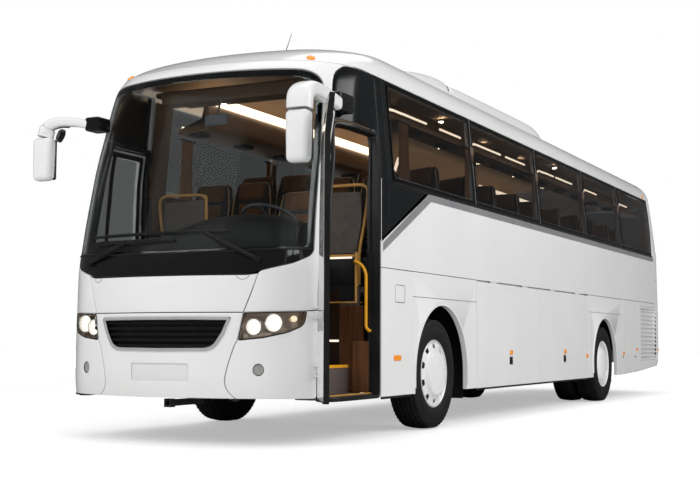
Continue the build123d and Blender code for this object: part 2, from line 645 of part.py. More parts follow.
def make_hatch_hinges():
    """Knuckles of the engine hatch: those of the hatch, then those of the panel above."""
    x, z = HATCH_HINGE
    moving, fixed = [], []
    for side in (-1, 1):
        middle = side * HATCH_HINGE_Y
        moving.append(rod((x, middle - KNUCKLE / 2, z), (x, middle + KNUCKLE / 2, z),
                          KNUCKLE_RADIUS))
        moving.append(block((x, x + HATCH_ARM), (middle - KNUCKLE / 2, middle + KNUCKLE / 2),
                            (z - 2 * KNUCKLE_RADIUS, z)))
        for end in (-1, 1):
            a = middle + end * (KNUCKLE / 2 + KNUCKLE_GAP)
            b = a + end * KNUCKLE
            fixed.append(rod((x, min(a, b), z), (x, max(a, b), z), KNUCKLE_RADIUS))
            fixed.append(block((x, x + HATCH_ARM), (a, b), (z, z + 2 * KNUCKLE_RADIUS)))
    return moving, fixed


# ---------------------------------------------------------------- floor, steps and underframe
STEP_EDGES_Y = (1215.0, 985.0, 765.0)
STEP_TOPS_Z = (385.0, 620.0, 830.0)
PLATFORM_Z = 1060.0
STEP_X = (DOOR_REAR_X + 5, DOOR_FRONT_X - 20)
STEP_INNER_Y = 545.0
TREAD = 30.0


def make_steps():
    """Left entrance steps: treads and risers folded from one sheet, with end walls."""
    outline = [(STEP_EDGES_Y[0], STEP_TOPS_Z[0]), (STEP_EDGES_Y[1], STEP_TOPS_Z[0]),
               (STEP_EDGES_Y[1], STEP_TOPS_Z[1]), (STEP_EDGES_Y[2], STEP_TOPS_Z[1]),
               (STEP_EDGES_Y[2], STEP_TOPS_Z[2]), (STEP_INNER_Y, STEP_TOPS_Z[2]),
               (STEP_INNER_Y, PLATFORM_Z), (STEP_INNER_Y - TREAD, PLATFORM_Z),
               (STEP_INNER_Y - TREAD, STEP_TOPS_Z[2] - TREAD),
               (STEP_EDGES_Y[2] - TREAD, STEP_TOPS_Z[2] - TREAD),
               (STEP_EDGES_Y[2] - TREAD, STEP_TOPS_Z[1] - TREAD),
               (STEP_EDGES_Y[1] - TREAD, STEP_TOPS_Z[1] - TREAD),
               (STEP_EDGES_Y[1] - TREAD, STEP_TOPS_Z[0] - TREAD),
               (STEP_EDGES_Y[0], STEP_TOPS_Z[0] - TREAD)]
    return prism_x(outline, STEP_X) & plan_tool(FLAP + 12)


def make_floor():
    """Passenger floor, driver's platform and the walls that close the stairwells.

    They stay separate boards, laid edge to edge.
    """
    z = (FLOOR_Z - FLOOR, FLOOR_Z)
    edge = STEP_X[0] - 40
    inner = STEP_INNER_Y - TREAD
    floor = block((-9540, edge), (-HALF + WALL, HALF - WALL), z)
    platform = block((edge, 2420), (-inner, inner), (PLATFORM_Z - TREAD, PLATFORM_Z))
    riser = block((edge, edge + 30), (-inner, inner), (PLATFORM_Z, FLOOR_Z))
    well = both(block((edge, STEP_X[0]), (inner, 1075), (SKIRT_Z + 10, FLOOR_Z)))
    front = both(block((STEP_X[1], STEP_X[1] + 30), (inner, 1060), (SKIRT_Z + 30, PLATFORM_Z)))
    return gathered([floor, platform, riser, well, front])


def make_frame():
    """Front and rear subframes, the axle seats and the crossmembers."""
    pieces = []
    for side in (-1, 1):
        y = (side * RAIL_Y - 40, side * RAIL_Y + 40)
        pieces.append(block((SEAMS_X[1] - 10, 2200), y, RAIL_Z))
        y = (side * REAR_RAIL_Y - 40, side * REAR_RAIL_Y + 40)
        pieces.append(block((-9640, SEAMS_X[3] + 10), y, (RAIL_Z[0] + 120, RAIL_Z[1] + 120)))
    for x in (2160, 1000, -700):
        pieces.append(block((x - 40, x + 40), (-RAIL_Y, RAIL_Y), (600, 700)))
    for x in (-5600, -7000, -8100, -9660):
        pieces.append(block((x - 40, x + 40), (-REAR_RAIL_Y, REAR_RAIL_Y), (720, 820)))
    for mouth, z, sense, member, underside in TOW_SOCKETS:
        back = mouth - sense * TOW_LENGTH
        pieces.append(block((back, mouth), (-TOW_HALF, TOW_HALF), (z - TOW_HALF, z + TOW_HALF))
                      - rod((back - 5 * sense, 0, z), (mouth + 5 * sense, 0, z), TOW_BORE))
        for side in (-1, 1):
            y = (side * (TOW_HALF - TOW_PLATE), side * TOW_HALF)
            pieces.append(block((member, back), y, (z - 25, z + 25)))
        pieces.append(block((member - 30, member + 30), (-TOW_HALF, TOW_HALF),
                            (z - 25, underside + 10)))
    for side in (-1, 1):
        y = side * RAIL_Y
        pieces.append(block((JACK_PAD_X - JACK_PAD / 2, JACK_PAD_X + JACK_PAD / 2),
                            (y - JACK_PAD / 2, y + JACK_PAD / 2),
                            (RAIL_Z[0] - JACK_PAD_THICK, RAIL_Z[0])))
    return pieces


def make_hold():
    """Luggage hold between the axles: floor, end walls and the sill under the flaps."""
    x0, x1 = SEAMS_X[3], SEAMS_X[1]
    y = (-HALF + SKIRT + 50, HALF - SKIRT - 50)
    top = FLOOR_Z - FLOOR
    floor = block((x0 + 10, x1 - 10), y, (SKIRT_Z + 40, SKIRT_Z + 70))
    ends = [block((x, x + 20), y, (SKIRT_Z + 40, top)) for x in (x0 + 10, x1 - 30)]
    return fused([floor] + ends)


def make_wheelhouses():
    """Liners round the four wheel openings: an inner wall and two end walls each."""
    top = FLOOR_Z - FLOOR
    pieces = []
    for (x, _, radius), inner, ahead, behind in (
            (FRONT_ARCH, 560.0, 765.0, -800.0), (REAR_ARCH, 590.0, 700.0, -700.0)):
        pieces.append(block((x + behind, x + ahead), (inner, inner + 12), (800, top)))
        pieces.append(block((x + ahead, x + ahead + 12), (inner, 1179), (SKIRT_Z + 60, top)))
        pieces.append(block((x + behind - 12, x + behind), (inner, 1179), (SKIRT_Z + 60, top)))
    left = fused(pieces[:3]), fused(pieces[3:])
    return gathered([both(piece) for piece in left])


# ---------------------------------------------------------------- wheels and axles
def tyre(x, outer_y, width=TYRE_WIDTH):
    """Tyre on the left whose outer face is at outer_y."""
    y1, y0 = outer_y, outer_y - width
    shoulder = 18.0
    profile = [(RIM_RADIUS, y0 + 40), (RIM_RADIUS + 60, y0 + 6), (RIM_RADIUS + 105, y0),
               (TYRE_RADIUS - 34, y0 + 8), (TYRE_RADIUS - 6, y0 + shoulder + 4),
               (TYRE_RADIUS, y0 + shoulder + 26),
               (TYRE_RADIUS, y1 - shoulder - 26), (TYRE_RADIUS - 6, y1 - shoulder - 4),
               (TYRE_RADIUS - 34, y1 - 8), (RIM_RADIUS + 105, y1), (RIM_RADIUS + 60, y1 - 6),
               (RIM_RADIUS, y1 - 40)]
    return ring_y(profile, x, TYRE_RADIUS)


def front_rim(x):
    """Front disc wheel on the left with hand holes and its hub."""
    y1, y0 = TYRE_FACE_Y - 40, TYRE_FACE_Y - TYRE_WIDTH + 40
    bore = SPINDLE_RADIUS + BEARING_GAP
    profile = [(RIM_RADIUS, y0), (RIM_RADIUS, y1), (RIM_RADIUS - 22, y1 + 12),
               (RIM_RADIUS - 34, y1 - 6), (RIM_RADIUS - 40, y1 - 70), (175, y1 - 28),
               (HUB_RADIUS, y1 - 28), (HUB_RADIUS, y1 + 8), (90, y1 + 26), (0, y1 + 30),
               (0, y1 - 20), (bore, y1 - 20), (bore, 1040), (HUB_RADIUS - 20, 1040),
               (HUB_RADIUS - 10, y1 - 48), (175, y1 - 48), (RIM_RADIUS - 48, y1 - 92),
               (RIM_RADIUS - 14, y0)]
    rim = ring_y(profile, x, TYRE_RADIUS)
    holes = []
    for number in range(10):
        angle = radians(36 * number)
        centre = (x + 222 * cos(angle), TYRE_RADIUS + 222 * sin(angle))
        holes.append(rod((centre[0], y1 - 140, centre[1]), (centre[0], y1 + 20, centre[1]), 24))
    return rim.cut(*holes)


def rear_rim(x):
    """Rear twin wheel on the left: the outer dish and the barrel that carries both tyres."""
    y1 = TYRE_FACE_Y - 40
    y0 = TYRE_FACE_Y - 2 * TYRE_WIDTH - TWIN_GAP + 40
    bore = SPINDLE_RADIUS + BEARING_GAP
    middle = TYRE_FACE_Y - TYRE_WIDTH - TWIN_GAP / 2
    profile = [(RIM_RADIUS, y0), (RIM_RADIUS, y1), (RIM_RADIUS - 22, y1 + 12),
               (RIM_RADIUS - 34, y1 - 6), (RIM_RADIUS - 60, y1 - 60), (HUB_RADIUS + 40, y1 - 30),
               (HUB_RADIUS, y1 + 4), (70, y1 + 24), (0, y1 + 28), (0, y1 - 20),
               (bore, y1 - 20), (bore, middle - 60), (HUB_RADIUS, middle - 60),
               (HUB_RADIUS, y1 - 50), (RIM_RADIUS - 70, y1 - 84), (RIM_RADIUS - 14, y1 - 100),
               (RIM_RADIUS - 14, y0)]
    return ring_y(profile, x, TYRE_RADIUS)


def make_knuckle():
    """Left steering knuckle: pin sleeve, spindle and steering arm."""
    z = TYRE_RADIUS
    sleeve = rod((0, KINGPIN_Y, z - 70), (0, KINGPIN_Y, z + 70), KINGPIN_RADIUS + 22)
    bore = rod((0, KINGPIN_Y, z - 200), (0, KINGPIN_Y, z + 200), KINGPIN_RADIUS + BEARING_GAP)
    spindle = rod((0, KINGPIN_Y + 20, z), (0, TYRE_FACE_Y - 70, z), SPINDLE_RADIUS)
    flange = rod((0, KINGPIN_Y + 30, z), (0, 1034, z), 68)
    arm = block((-190, -20), (KINGPIN_Y - 20, KINGPIN_Y + 20), (z - 60, z - 30))
    return (sleeve + spindle + flange + arm) - bore


def make_front_axle():
    """Beam with a fork and kingpin at each end, and the air bag seats."""
    z = TYRE_RADIUS
    beam = block((-55, 55), (-860, 860), (z - 120, z - 20))
    pieces = [beam]
    for side in (-1, 1):
        y = side * KINGPIN_Y
        inner = side * 800
        outer = side * (KINGPIN_Y + 45)
        for low, high in ((z - 130, z - 76), (z + 76, z + 130)):
            pieces.append(block((-45, 45), (inner, outer), (low, high)))
        pieces.append(block((-45, 45), (inner, side * 850), (z - 130, z + 130)))
        pieces.append(rod((0, y, z - 130), (0, y, z + 130), KINGPIN_RADIUS))
        pieces.append(block((-60, 60), (side * RAIL_Y - 50, side * RAIL_Y + 50),
                            (z - 60, RAIL_Z[0])))
    return fused(pieces)


def make_rear_axle():
    """Axle tube, final drive and the spindles of the twin wheels."""
    x, z = REAR_AXLE_X, TYRE_RADIUS
    tube_part = rod((x, -560, z), (x, 560, z), 85)
    drive = Pos(x, 0, z) * Sphere(210)
    spindle = rod((x, -(TYRE_FACE_Y - 70), z), (x, TYRE_FACE_Y - 70, z), SPINDLE_RADIUS)
    seats = [block((x - 70, x + 70), (side * REAR_RAIL_Y - 40, side * REAR_RAIL_Y + 30),
                   (z, RAIL_Z[0] + 120)) for side in (-1, 1)]
    return fused([tube_part, drive, spindle] + seats)


# ---------------------------------------------------------------- cabin fittings
SEAT_PITCH = 830.0
SEAT_ROWS = 11
FIRST_SEAT_X = 1010.0
AISLE_HALF = 230.0
SEAT_WALL_GAP = 45.0


def seat(x, y0, y1, base_z):
    """One bench of two places facing forwards: cushion, back and pedestal."""
    cushion = block((x - 430, x + 20), (y0, y1), (base_z + 380, base_z + 480))
    back = prism_y([(x - 430, base_z + 400), (x - 320, base_z + 400), (x - 440, base_z + 1090),
                    (x - 530, base_z + 1090)], (y0, y1))
    pedestal = block((x - 380, x - 60), (y0 + 120, y1 - 120), (base_z, base_z + 380))
    return fused([cushion, back, pedestal])


def make_seats():
    """Left column of double seats."""
    rows = [seat(FIRST_SEAT_X - number * SEAT_PITCH, AISLE_HALF, HALF - WALL - SEAT_WALL_GAP, FLOOR_Z)
            for number in range(SEAT_ROWS)]
    return gathered(rows)


def make_dash():
    """Dashboard across the platform, higher in front of the driver."""
    low = prism_y([(2440, PLATFORM_Z), (2180, PLATFORM_Z), (2140, 1400), (2200, 1500),
                   (2520, 1440), (2560, 1380)], (-1000, 1000))
    hump = prism_y([(2160, 1440), (2120, 1720), (2190, 1810), (2300, 1790), (2500, 1450)],
                   (180, 930))
    return (low + hump) & nose_solid(NOSE_ROWS, 0, WALL + 4)


WHEEL_CENTRE = (2030.0, 600.0, 1830.0)
WHEEL_TILT = 28.0
WHEEL_RADIUS = 235.0
HUB_HEIGHT = 44.0
COLUMN_LENGTH = 370.0
SEAT_GAP = 0.3              # between a turning piece and what carries it


def make_steering():
    """Steering wheel, then its column."""
    x, y, z = WHEEL_CENTRE
    place = Pos(x, y, z) * Rot(0, -WHEEL_TILT, 0)
    ring = Torus(WHEEL_RADIUS, 15)
    hub = Cylinder(55, HUB_HEIGHT)
    spokes = [Rot(0, 0, angle) * Pos(WHEEL_RADIUS / 2, 0, 0) * Box(WHEEL_RADIUS, 30, 12)
              for angle in (0, 120, 240)]
    wheel = place * (fused([ring, hub] + spokes))
    drop = HUB_HEIGHT / 2 + SEAT_GAP + COLUMN_LENGTH / 2
    column = place * (Pos(0, 0, -drop) * Cylinder(32, COLUMN_LENGTH))
    return wheel, column


def make_driver_seat():
    x, y, z = 1420.0, 420.0, PLATFORM_Z
    base = block((x - 90, x + 160), (y - 90, y + 90), (z, z + 420))
    cushion = block((x - 240, x + 240), (y - 230, y + 230), (z + 420, z + 530))
    back = prism_y([(x - 260, z + 450), (x - 150, z + 450), (x - 230, z + 1220),
                    (x - 320, z + 1220)], (y - 220, y + 220))
    return fused([base, cushion, back])


def make_racks():
    """Left luggage rack over the seats, held to the wall."""
    profile = [(wall_inner_y(2760), 2760), (790, 2790), (760, 2840), (790, 3080), (830, 3080),
               (810, 2850), (wall_inner_y(2800), 2800)]
    return prism_x(profile, (REAR_JOIN_X + 150, 900))


def make_rails():
    """Yellow hand rails of the left entrance."""
    x = STEP_X[0] + 20
    hand = rail([(x, 1050, 700), (x, 1050, 1410), (x, 960, 1530), (x, 800, 1530)], 60, 16)
    foot = block((STEP_X[0], x + 10), (1035, 1065), (700, 740))
    top = block((STEP_X[0], x + 10), (800, 830), (1515, 1545))
    return fused([hand, foot, top])


# ---------------------------------------------------------------- outside fittings
# Outline of the roof pod, seen from the side: x, height over the crown of the roof.
POD_OUTLINE = ((150.0, -30.0), (0.0, 18.0), (-280.0, 62.0), (-660.0, 101.0), (-860.0, 102.0),
               (-1060.0, 82.0), (-1420.0, 95.0), (-2700.0, 110.0), (-3500.0, 114.0),
               (-3980.0, 100.0), (-4190.0, 55.0), (-4270.0, -30.0))
POD_HALF = 980.0
POD_PROUD = 165.0           # most that the pod's sides stand off the roof


def make_roof_unit():
    """Low pod on the roof with its long fairing."""
    pod = prism_y([(x, ROOF_TOP_Z + z) for x, z in POD_OUTLINE], (-POD_HALF, POD_HALF))
    rear, front = POD_OUTLINE[-1][0] - 100, POD_OUTLINE[0][0] + 100
    crown = extrude(section(rear, -POD_PROUD), amount=front - rear, dir=(1, 0, 0))
    inside = extrude(section(rear), amount=front - rear, dir=(1, 0, 0))
    return (pod & crown) - inside


def make_mirrors():
    """Left mirror: root block, bent arm and head.  Then the right one."""
    left_root = block((1850, 2120), (1195, 1290), (2705, 2860))
    left_arm = rail([(2080, 1262, 2790), (2700, 1300, 2800), (2790, 1300, 2560)], 110, 42)
    left_head = block((2715, 2865), (1195, 1395), (2170, 2590))
    right_root = block((2050, 2230), (-1190, -1060), (2690, 2820))
    right_arm = rail([(2190, -1120, 2760), (2290, -1560, 2770), (2300, -1600, 2560)], 90, 42)
    right_head = block((2245, 2385), (-1690, -1480), (2250, 2650))
    return (left_root, left_arm, left_head), (right_root, right_arm, right_head)


WIPER_ROD = 8.0
WIPER_PROUD = 26.0          # how far the blades' middles stand off the glass
# Each wiper: pivot y, pivot z, arm's end y, arm's end z, blade's ends y, blade's height
WIPERS = (
    (815.0, 1465.0, 360.0, 1687.0, (-790.0, 560.0), 1690.0),
    (-820.0, 1471.0, -384.0, 1610.0, (-700.0, 120.0), 1622.0),
)
WIPER_SPANS = 8


def on_nose(y, z, proud):
    """Point a little proud of the nose's wide arc."""
    turn = asin(y / NOSE_RADIUS)
    reach = NOSE_RADIUS + proud
    return front_x(z) - NOSE_RADIUS + reach * cos(turn), reach * sin(turn), z


def bar(points, radius):
    """Round bar through the points."""
    return fused([rod(start, end, radius) for start, end in zip(points, points[1:])])


def make_wipers():
    """Two arms with level blades across the foot of the screen."""
    pieces = []
    for pivot_y, pivot_z, end_y, end_z, (low_y, high_y), blade_z in WIPERS:
        step = (high_y - low_y) / WIPER_SPANS
        blade = bar([on_nose(low_y + step * number, blade_z, WIPER_PROUD)
                     for number in range(WIPER_SPANS + 1)], WIPER_ROD)
        middle_y = (pivot_y + end_y) / 2
        arm = bar([on_nose(pivot_y, pivot_z, WIPER_PROUD + 8),
                   on_nose(middle_y, (pivot_z + end_z) / 2, WIPER_PROUD + 16),
                   on_nose(end_y, blade_z, WIPER_PROUD + 8)], WIPER_ROD + 3)
        spindle = rod(on_nose(pivot_y, pivot_z, -20), on_nose(pivot_y, pivot_z, WIPER_PROUD + 20),
                      20)
        pieces.append(fused([blade, arm, spindle]) - nose_solid(NOSE_ROWS, 0))
    return gathered(pieces)


def make_flaps_mud():
    """Rubber flaps behind the wheels on the left."""
    front = block((-910, -900), (950, 1175), (250, 760))
    rear = block((-6865, -6855), (640, 1175), (250, 760))
    return gathered([front, rear])


CURTAIN = 16.0              # depth of the folds
CURTAIN_HALF = 95.0         # half width once gathered
CURTAIN_Z = (2190.0, 2735.0)


def make_curtains():
    """Curtains gathered at the left pillars, lying in the lean of the glass."""
    pieces = []
    for x in GLASS_DIVIDERS_X[1:-1]:
        low, high = (wall_inner_y(z) - SEAT_GAP for z in CURTAIN_Z)
        pieces.append(prism_x([(low - CURTAIN, CURTAIN_Z[0]), (low, CURTAIN_Z[0]),
                               (low, WAIST_Z), (high, CURTAIN_Z[1]),
                               (high - CURTAIN, CURTAIN_Z[1]), (low - CURTAIN, WAIST_Z)],
                              (x - CURTAIN_HALF, x + CURTAIN_HALF)))
    return gathered(pieces)


AERIAL = ((1290.0, 300.0, 3410.0), (1160.0, 300.0, 3660.0))
AERIAL_RADIUS = 4.0


# ---------------------------------------------------------------- assembly
bumper, front_panel, grille, headlamps, fogs = make_nose()
screen_frame, windscreen, over_doors = make_screen()
cap_front, cap_rear = make_caps()
wall, glazing, strip = make_side()
skirts = make_skirts()
louvre = make_louvre()
side_frame = make_side_frame()
belt = make_belt_rail()
wall = fused([wall] + belt)
door, door_pane = make_door()
brackets = make_door_brackets()
rear_bumper, rear_corners, rear_upper, rear_glass, hatch, tail_lamps = make_tail()
hatch_moving, hatch_fixed = make_hatch_hinges()
hatch = fused([hatch] + hatch_moving)
rear_corners = fused([rear_corners] + hatch_fixed)
roof = tube(CAP_REAR_X, CAP_FRONT_X) & block(ALL_X, ALL_Y, (EAVE_Z, FAR))
steering_wheel, column = make_steering()
(left_root, left_arm, left_head), (right_root, right_arm, right_head) = make_mirrors()
inner_face_y = TYRE_FACE_Y - TYRE_WIDTH - TWIN_GAP

NODES = {
    "front_bumper": bumper,
    "front_panel": front_panel,
    "door_hinge_brackets": gathered([both(piece) for piece in brackets]),
    "front_grille": grille,
    "front_lamps": gathered([headlamps, fogs]),
    "windscreen_frame": screen_frame,
    "windscreen": windscreen,
    "roof_front_cap": cap_front,
    "roof_rear_cap": cap_rear,
    "roof": roof,
    "roof_unit": gathered([make_roof_unit(), rod(*AERIAL, AERIAL_RADIUS) - cap_front]),
    "curtains": both(make_curtains()),
    "side_walls": both(wall),
    "side_glass": gathered([both(glazing), over_doors]),
    "bright_strips": both(strip),
    "side_skirts": both(skirts),
    "side_louvres": both(louvre),
    "side_frames": both(side_frame),
    "door_frames": both(make_door_frames()),
    "left_door": opened(door),
    "left_door_glass": opened(door_pane),
    "right_door": other_side(door),
    "right_door_glass": other_side(door_pane),
    "rear_bumper": rear_bumper,
    "rear_corners": rear_corners,
    "rear_upper": rear_upper,
    "rear_window": rear_glass,
    "engine_hatch": hatch,
    "tail_lamps": tail_lamps,
    "cabin_floor": make_floor(),
    "entrance_steps": both(make_steps()),
    "hand_rails": both(make_rails()),
    "underframe": fused(make_frame()),
    "luggage_hold": make_hold(),
    "wheelhouses": make_wheelhouses(),
    "engine": block(*ENGINE),
    "front_axle": make_front_axle(),
    "rear_axle": make_rear_axle(),
    "left_knuckle": make_knuckle(),
    "right_knuckle": other_side(make_knuckle()),
    "front_left_tyre": tyre(0, TYRE_FACE_Y),
    "front_right_tyre": other_side(tyre(0, TYRE_FACE_Y)),
    "front_left_rim": front_rim(0),
    "front_right_rim": other_side(front_rim(0)),
    "rear_left_tyres": gathered([tyre(REAR_AXLE_X, TYRE_FACE_Y), tyre(REAR_AXLE_X, inner_face_y)]),
    "rear_left_rim": rear_rim(REAR_AXLE_X),
    "seats": both(make_seats()),
    "driver_seat": make_driver_seat(),
    "dashboard": make_dash() + column,
    "steering_wheel": steering_wheel,
    "luggage_racks": both(make_racks()),
    "mirrors": gathered([fused([left_root, left_arm, left_head]) - nose_solid(NOSE_ROWS, 0),
                         fused([right_root, right_arm, right_head]) - nose_solid(NOSE_ROWS, 0)]),
    "wipers": make_wipers(),
    "mudflaps": both(make_flaps_mud()),
}
NODES["rear_right_tyres"] = other_side(NODES["rear_left_tyres"])
NODES["rear_right_rim"] = other_side(NODES["rear_left_rim"])
FLAP_SPANS = (("front", SEAMS_X[2], SEAMS_X[1]), ("rear", SEAMS_X[3], SEAMS_X[2]))
for place, rear, front in FLAP_SPANS:
    flap = make_flap(rear, front)
    NODES[f"left_{place}_flap"] = flap
    NODES[f"right_{place}_flap"] = other_side(flap)

for node, shape in NODES.items():
    export(shape, node)
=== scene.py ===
"""Dresses a two-axle touring coach: coachwork, glass, lamps, cabin and running gear.

Lengths are metres.  Inside this file X is counted forwards from the front axle, Y is the
coach's left and Z is up from the ground; `publish` adds ROW_SHIFT, so that every finished
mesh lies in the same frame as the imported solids.
"""
from __future__ import annotations

import json
import logging
import math
from dataclasses import dataclass, field
from enum import Enum
from typing import Sequence

import bmesh
import bpy
import numpy as np
import numpy.typing as npt
from mathutils import Matrix
from mathutils.geometry import delaunay_2d_cdt

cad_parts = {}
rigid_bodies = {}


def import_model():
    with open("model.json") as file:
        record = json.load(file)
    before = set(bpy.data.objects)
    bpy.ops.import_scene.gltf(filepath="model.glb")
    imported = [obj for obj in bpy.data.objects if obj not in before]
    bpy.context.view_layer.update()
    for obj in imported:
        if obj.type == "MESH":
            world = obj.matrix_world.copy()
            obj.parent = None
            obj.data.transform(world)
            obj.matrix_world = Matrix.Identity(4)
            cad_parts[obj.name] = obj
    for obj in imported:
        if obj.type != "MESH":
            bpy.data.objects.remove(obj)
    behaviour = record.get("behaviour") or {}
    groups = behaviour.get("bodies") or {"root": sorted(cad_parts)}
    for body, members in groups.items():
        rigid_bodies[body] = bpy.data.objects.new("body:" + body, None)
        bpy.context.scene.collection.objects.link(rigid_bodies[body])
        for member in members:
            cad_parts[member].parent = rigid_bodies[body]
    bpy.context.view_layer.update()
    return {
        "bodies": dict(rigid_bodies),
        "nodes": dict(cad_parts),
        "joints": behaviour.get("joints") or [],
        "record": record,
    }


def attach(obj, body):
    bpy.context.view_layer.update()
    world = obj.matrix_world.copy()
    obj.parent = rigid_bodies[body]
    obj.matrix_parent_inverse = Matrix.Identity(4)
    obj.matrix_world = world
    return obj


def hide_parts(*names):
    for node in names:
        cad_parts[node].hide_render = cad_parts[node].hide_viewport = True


Array = npt.NDArray[np.float64]
Faces = npt.NDArray[np.int64]
log = logging.getLogger("coach")

ROW_SHIFT = 3.380
COACH = "coach"
HALF = 1.275
SKIRT_Z, WAIST_Z, EAVE_Z = 0.350, 2.240, 3.165
EAVE_HALF = 1.190
JOIN_FRONT, JOIN_REAR = 1.280, -9.300
CAP_FRONT, CAP_REAR = 0.380, -8.850
REAR_AXLE_X = -6.170
TYRE_RADIUS, TYRE_WIDTH, TYRE_FACE, TWIN_GAP = 0.522, 0.295, 1.254, 0.045
DIVIDERS = (-9.270, -7.210, -5.310, -3.260, -1.070, 1.030)
SEAMS = (0.602, -1.046, -3.159, -5.333, -7.157, -8.155)


class Side(Enum):
    """The coach's two sides, by the sign of Y."""

    LEFT = 1
    RIGHT = -1


# ---------------------------------------------------------------- forms
@dataclass
class Form:
    """Points with the faces that join them, before they become an object.

    Attributes:
        points: One row of X, Y, Z for each point.
        faces: Arrays of point numbers, three or four to a row.
    """

    points: Array
    faces: list[Faces]

    def mirrored(self) -> "Form":
        """The same form on the coach's other side, still facing outwards."""
        return Form(self.points * (1.0, -1.0, 1.0), [f[:, ::-1] for f in self.faces])

    def on(self, side: Side) -> "Form":
        """The form as it is on the left side, or mirrored on the right."""
        return self if side is Side.LEFT else self.mirrored()

    def moved(self, offset: Sequence[float]) -> "Form":
        """The same form, shifted by an offset."""
        return Form(self.points + np.asarray(offset, float), self.faces)

    def turned(self, matrix: Matrix) -> "Form":
        """The same form under a rigid transform."""
        m = np.array(matrix, float)
        return Form(self.points @ m[:3, :3].T + m[:3, 3], self.faces)


def unit(vectors: Array) -> Array:
    """Vectors scaled to length one; a vector of no length stays as it is."""
    return vectors / np.maximum(np.linalg.norm(vectors, axis=-1, keepdims=True), 1e-9)


def joined(forms: Sequence[Form]) -> Form:
    """Several forms as one, each keeping its own points.

    Args:
        forms: The forms to put together.

    Returns:
        One form with all their points and faces.
    """
    starts = np.cumsum([0] + [len(f.points) for f in forms[:-1]])
    faces = [face + start for form, start in zip(forms, starts) for face in form.faces]
    return Form(np.vstack([f.points for f in forms]), faces)


def both(form: Form) -> Form:
    """A form and its mirror image."""
    return joined([form, form.mirrored()])


def net(rows: int, columns: int, wrap_rows: bool = False, wrap_columns: bool = False) -> Faces:
    """Four-sided faces of a grid of points stored row by row.

    Args:
        rows: Points along the first parameter.
        columns: Points along the second parameter.
        wrap_rows: Whether the last row joins the first.
        wrap_columns: Whether the last column joins the first.

    Returns:
        Point numbers, four to a face.
    """
    i = np.arange(rows if wrap_rows else rows - 1)[:, None]
    j = np.arange(columns if wrap_columns else columns - 1)[None, :]
    i2, j2 = (i + 1) % rows, (j + 1) % columns
    corners = [i * columns + j, i2 * columns + j, i2 * columns + j2, i * columns + j2]
    return np.stack([np.broadcast_to(c, (len(i), j.shape[1])).ravel() for c in corners], axis=1)


def lofted(rings: Array) -> Form:
    """A skin over rings of points, with a fan at each end.

    The point (k, n) of the grid is point n of ring k; each end fan runs to its ring's mean.

    Args:
        rings: Array of shape (rings, points, 3), each ring closed on itself.

    Returns:
        The closed form.
    """
    count, size = rings.shape[:2]
    points = np.vstack([rings.reshape(-1, 3), rings[0].mean(0), rings[-1].mean(0)])
    n = np.arange(size)
    m = (n + 1) % size
    tail = (count - 1) * size
    first = np.stack([n, m, np.full(size, count * size)], axis=1)
    last = np.stack([m + tail, n + tail, np.full(size, count * size + 1)], axis=1)
    return Form(points, [net(count, size, wrap_columns=True), first, last])


def tube(path: Array, radius: float | Array, sides: int = 16, flat: float | Array = 1.0,
         up: Sequence[float] = (0.0, 0.0, 1.0), wrap: bool = False, square: float = 1.0) -> Form:
    """A round, flattened or boxy bar along a path.

    Each ring is path + radius (C N + flat S B), where T is the path's direction, B is T x up
    and N is B x T, both of length one.  C and S are cos a and sin a to the power `square`,
    with their signs kept.

    Args:
        path: Points along the middle, in order.
        radius: Radius, or one for each point.
        sides: Points round the bar.
        flat: Share of the radius across the bar, along B, or one for each point.
        up: A direction that the path never follows.
        wrap: Whether the path closes on itself.
        square: 1 for a round bar and less for a boxy one.

    Returns:
        The closed form.
    """
    ahead = np.roll(path, -1, axis=0) - np.roll(path, 1, axis=0) if wrap \
        else np.gradient(path, axis=0)
    t = unit(ahead)
    b = unit(np.cross(t, np.asarray(up, float)))
    n = np.cross(b, t)
    a = np.linspace(0, 2 * math.pi, sides, endpoint=False)
    c, s = (np.sign(v) * np.abs(v) ** square for v in (np.cos(a), np.sin(a)))
    r, f = (np.broadcast_to(np.asarray(v, float), (len(path),))[:, None, None]
            for v in (radius, flat))
    rings = path[:, None, :] + r * (c[None, :, None] * n[:, None, :]
                                    + f * s[None, :, None] * b[:, None, :])
    if wrap:
        return Form(rings.reshape(-1, 3), [net(len(path), sides, True, True)])
    return lofted(rings)


def curve_through(points: Sequence[Sequence[float]], count: int) -> Array:
    """A smooth line through points, by Catmull and Rom's cubic between each pair.

    Args:
        points: The points it passes through.
        count: Samples along the whole line.

    Returns:
        The samples, in order.
    """
    p = np.asarray(points, float)
    p = np.vstack([2 * p[0] - p[1], p, 2 * p[-1] - p[-2]])
    at = np.linspace(0, len(p) - 3 - 1e-9, count)
    k = at.astype(int)
    t = (at - k)[:, None]
    a, b, c, d = p[k], p[k + 1], p[k + 2], p[k + 3]
    return 0.5 * (2 * b + (c - a) * t + (2 * a - 5 * b + 4 * c - d) * t ** 2
                  + (3 * b - a - 3 * c + d) * t ** 3)


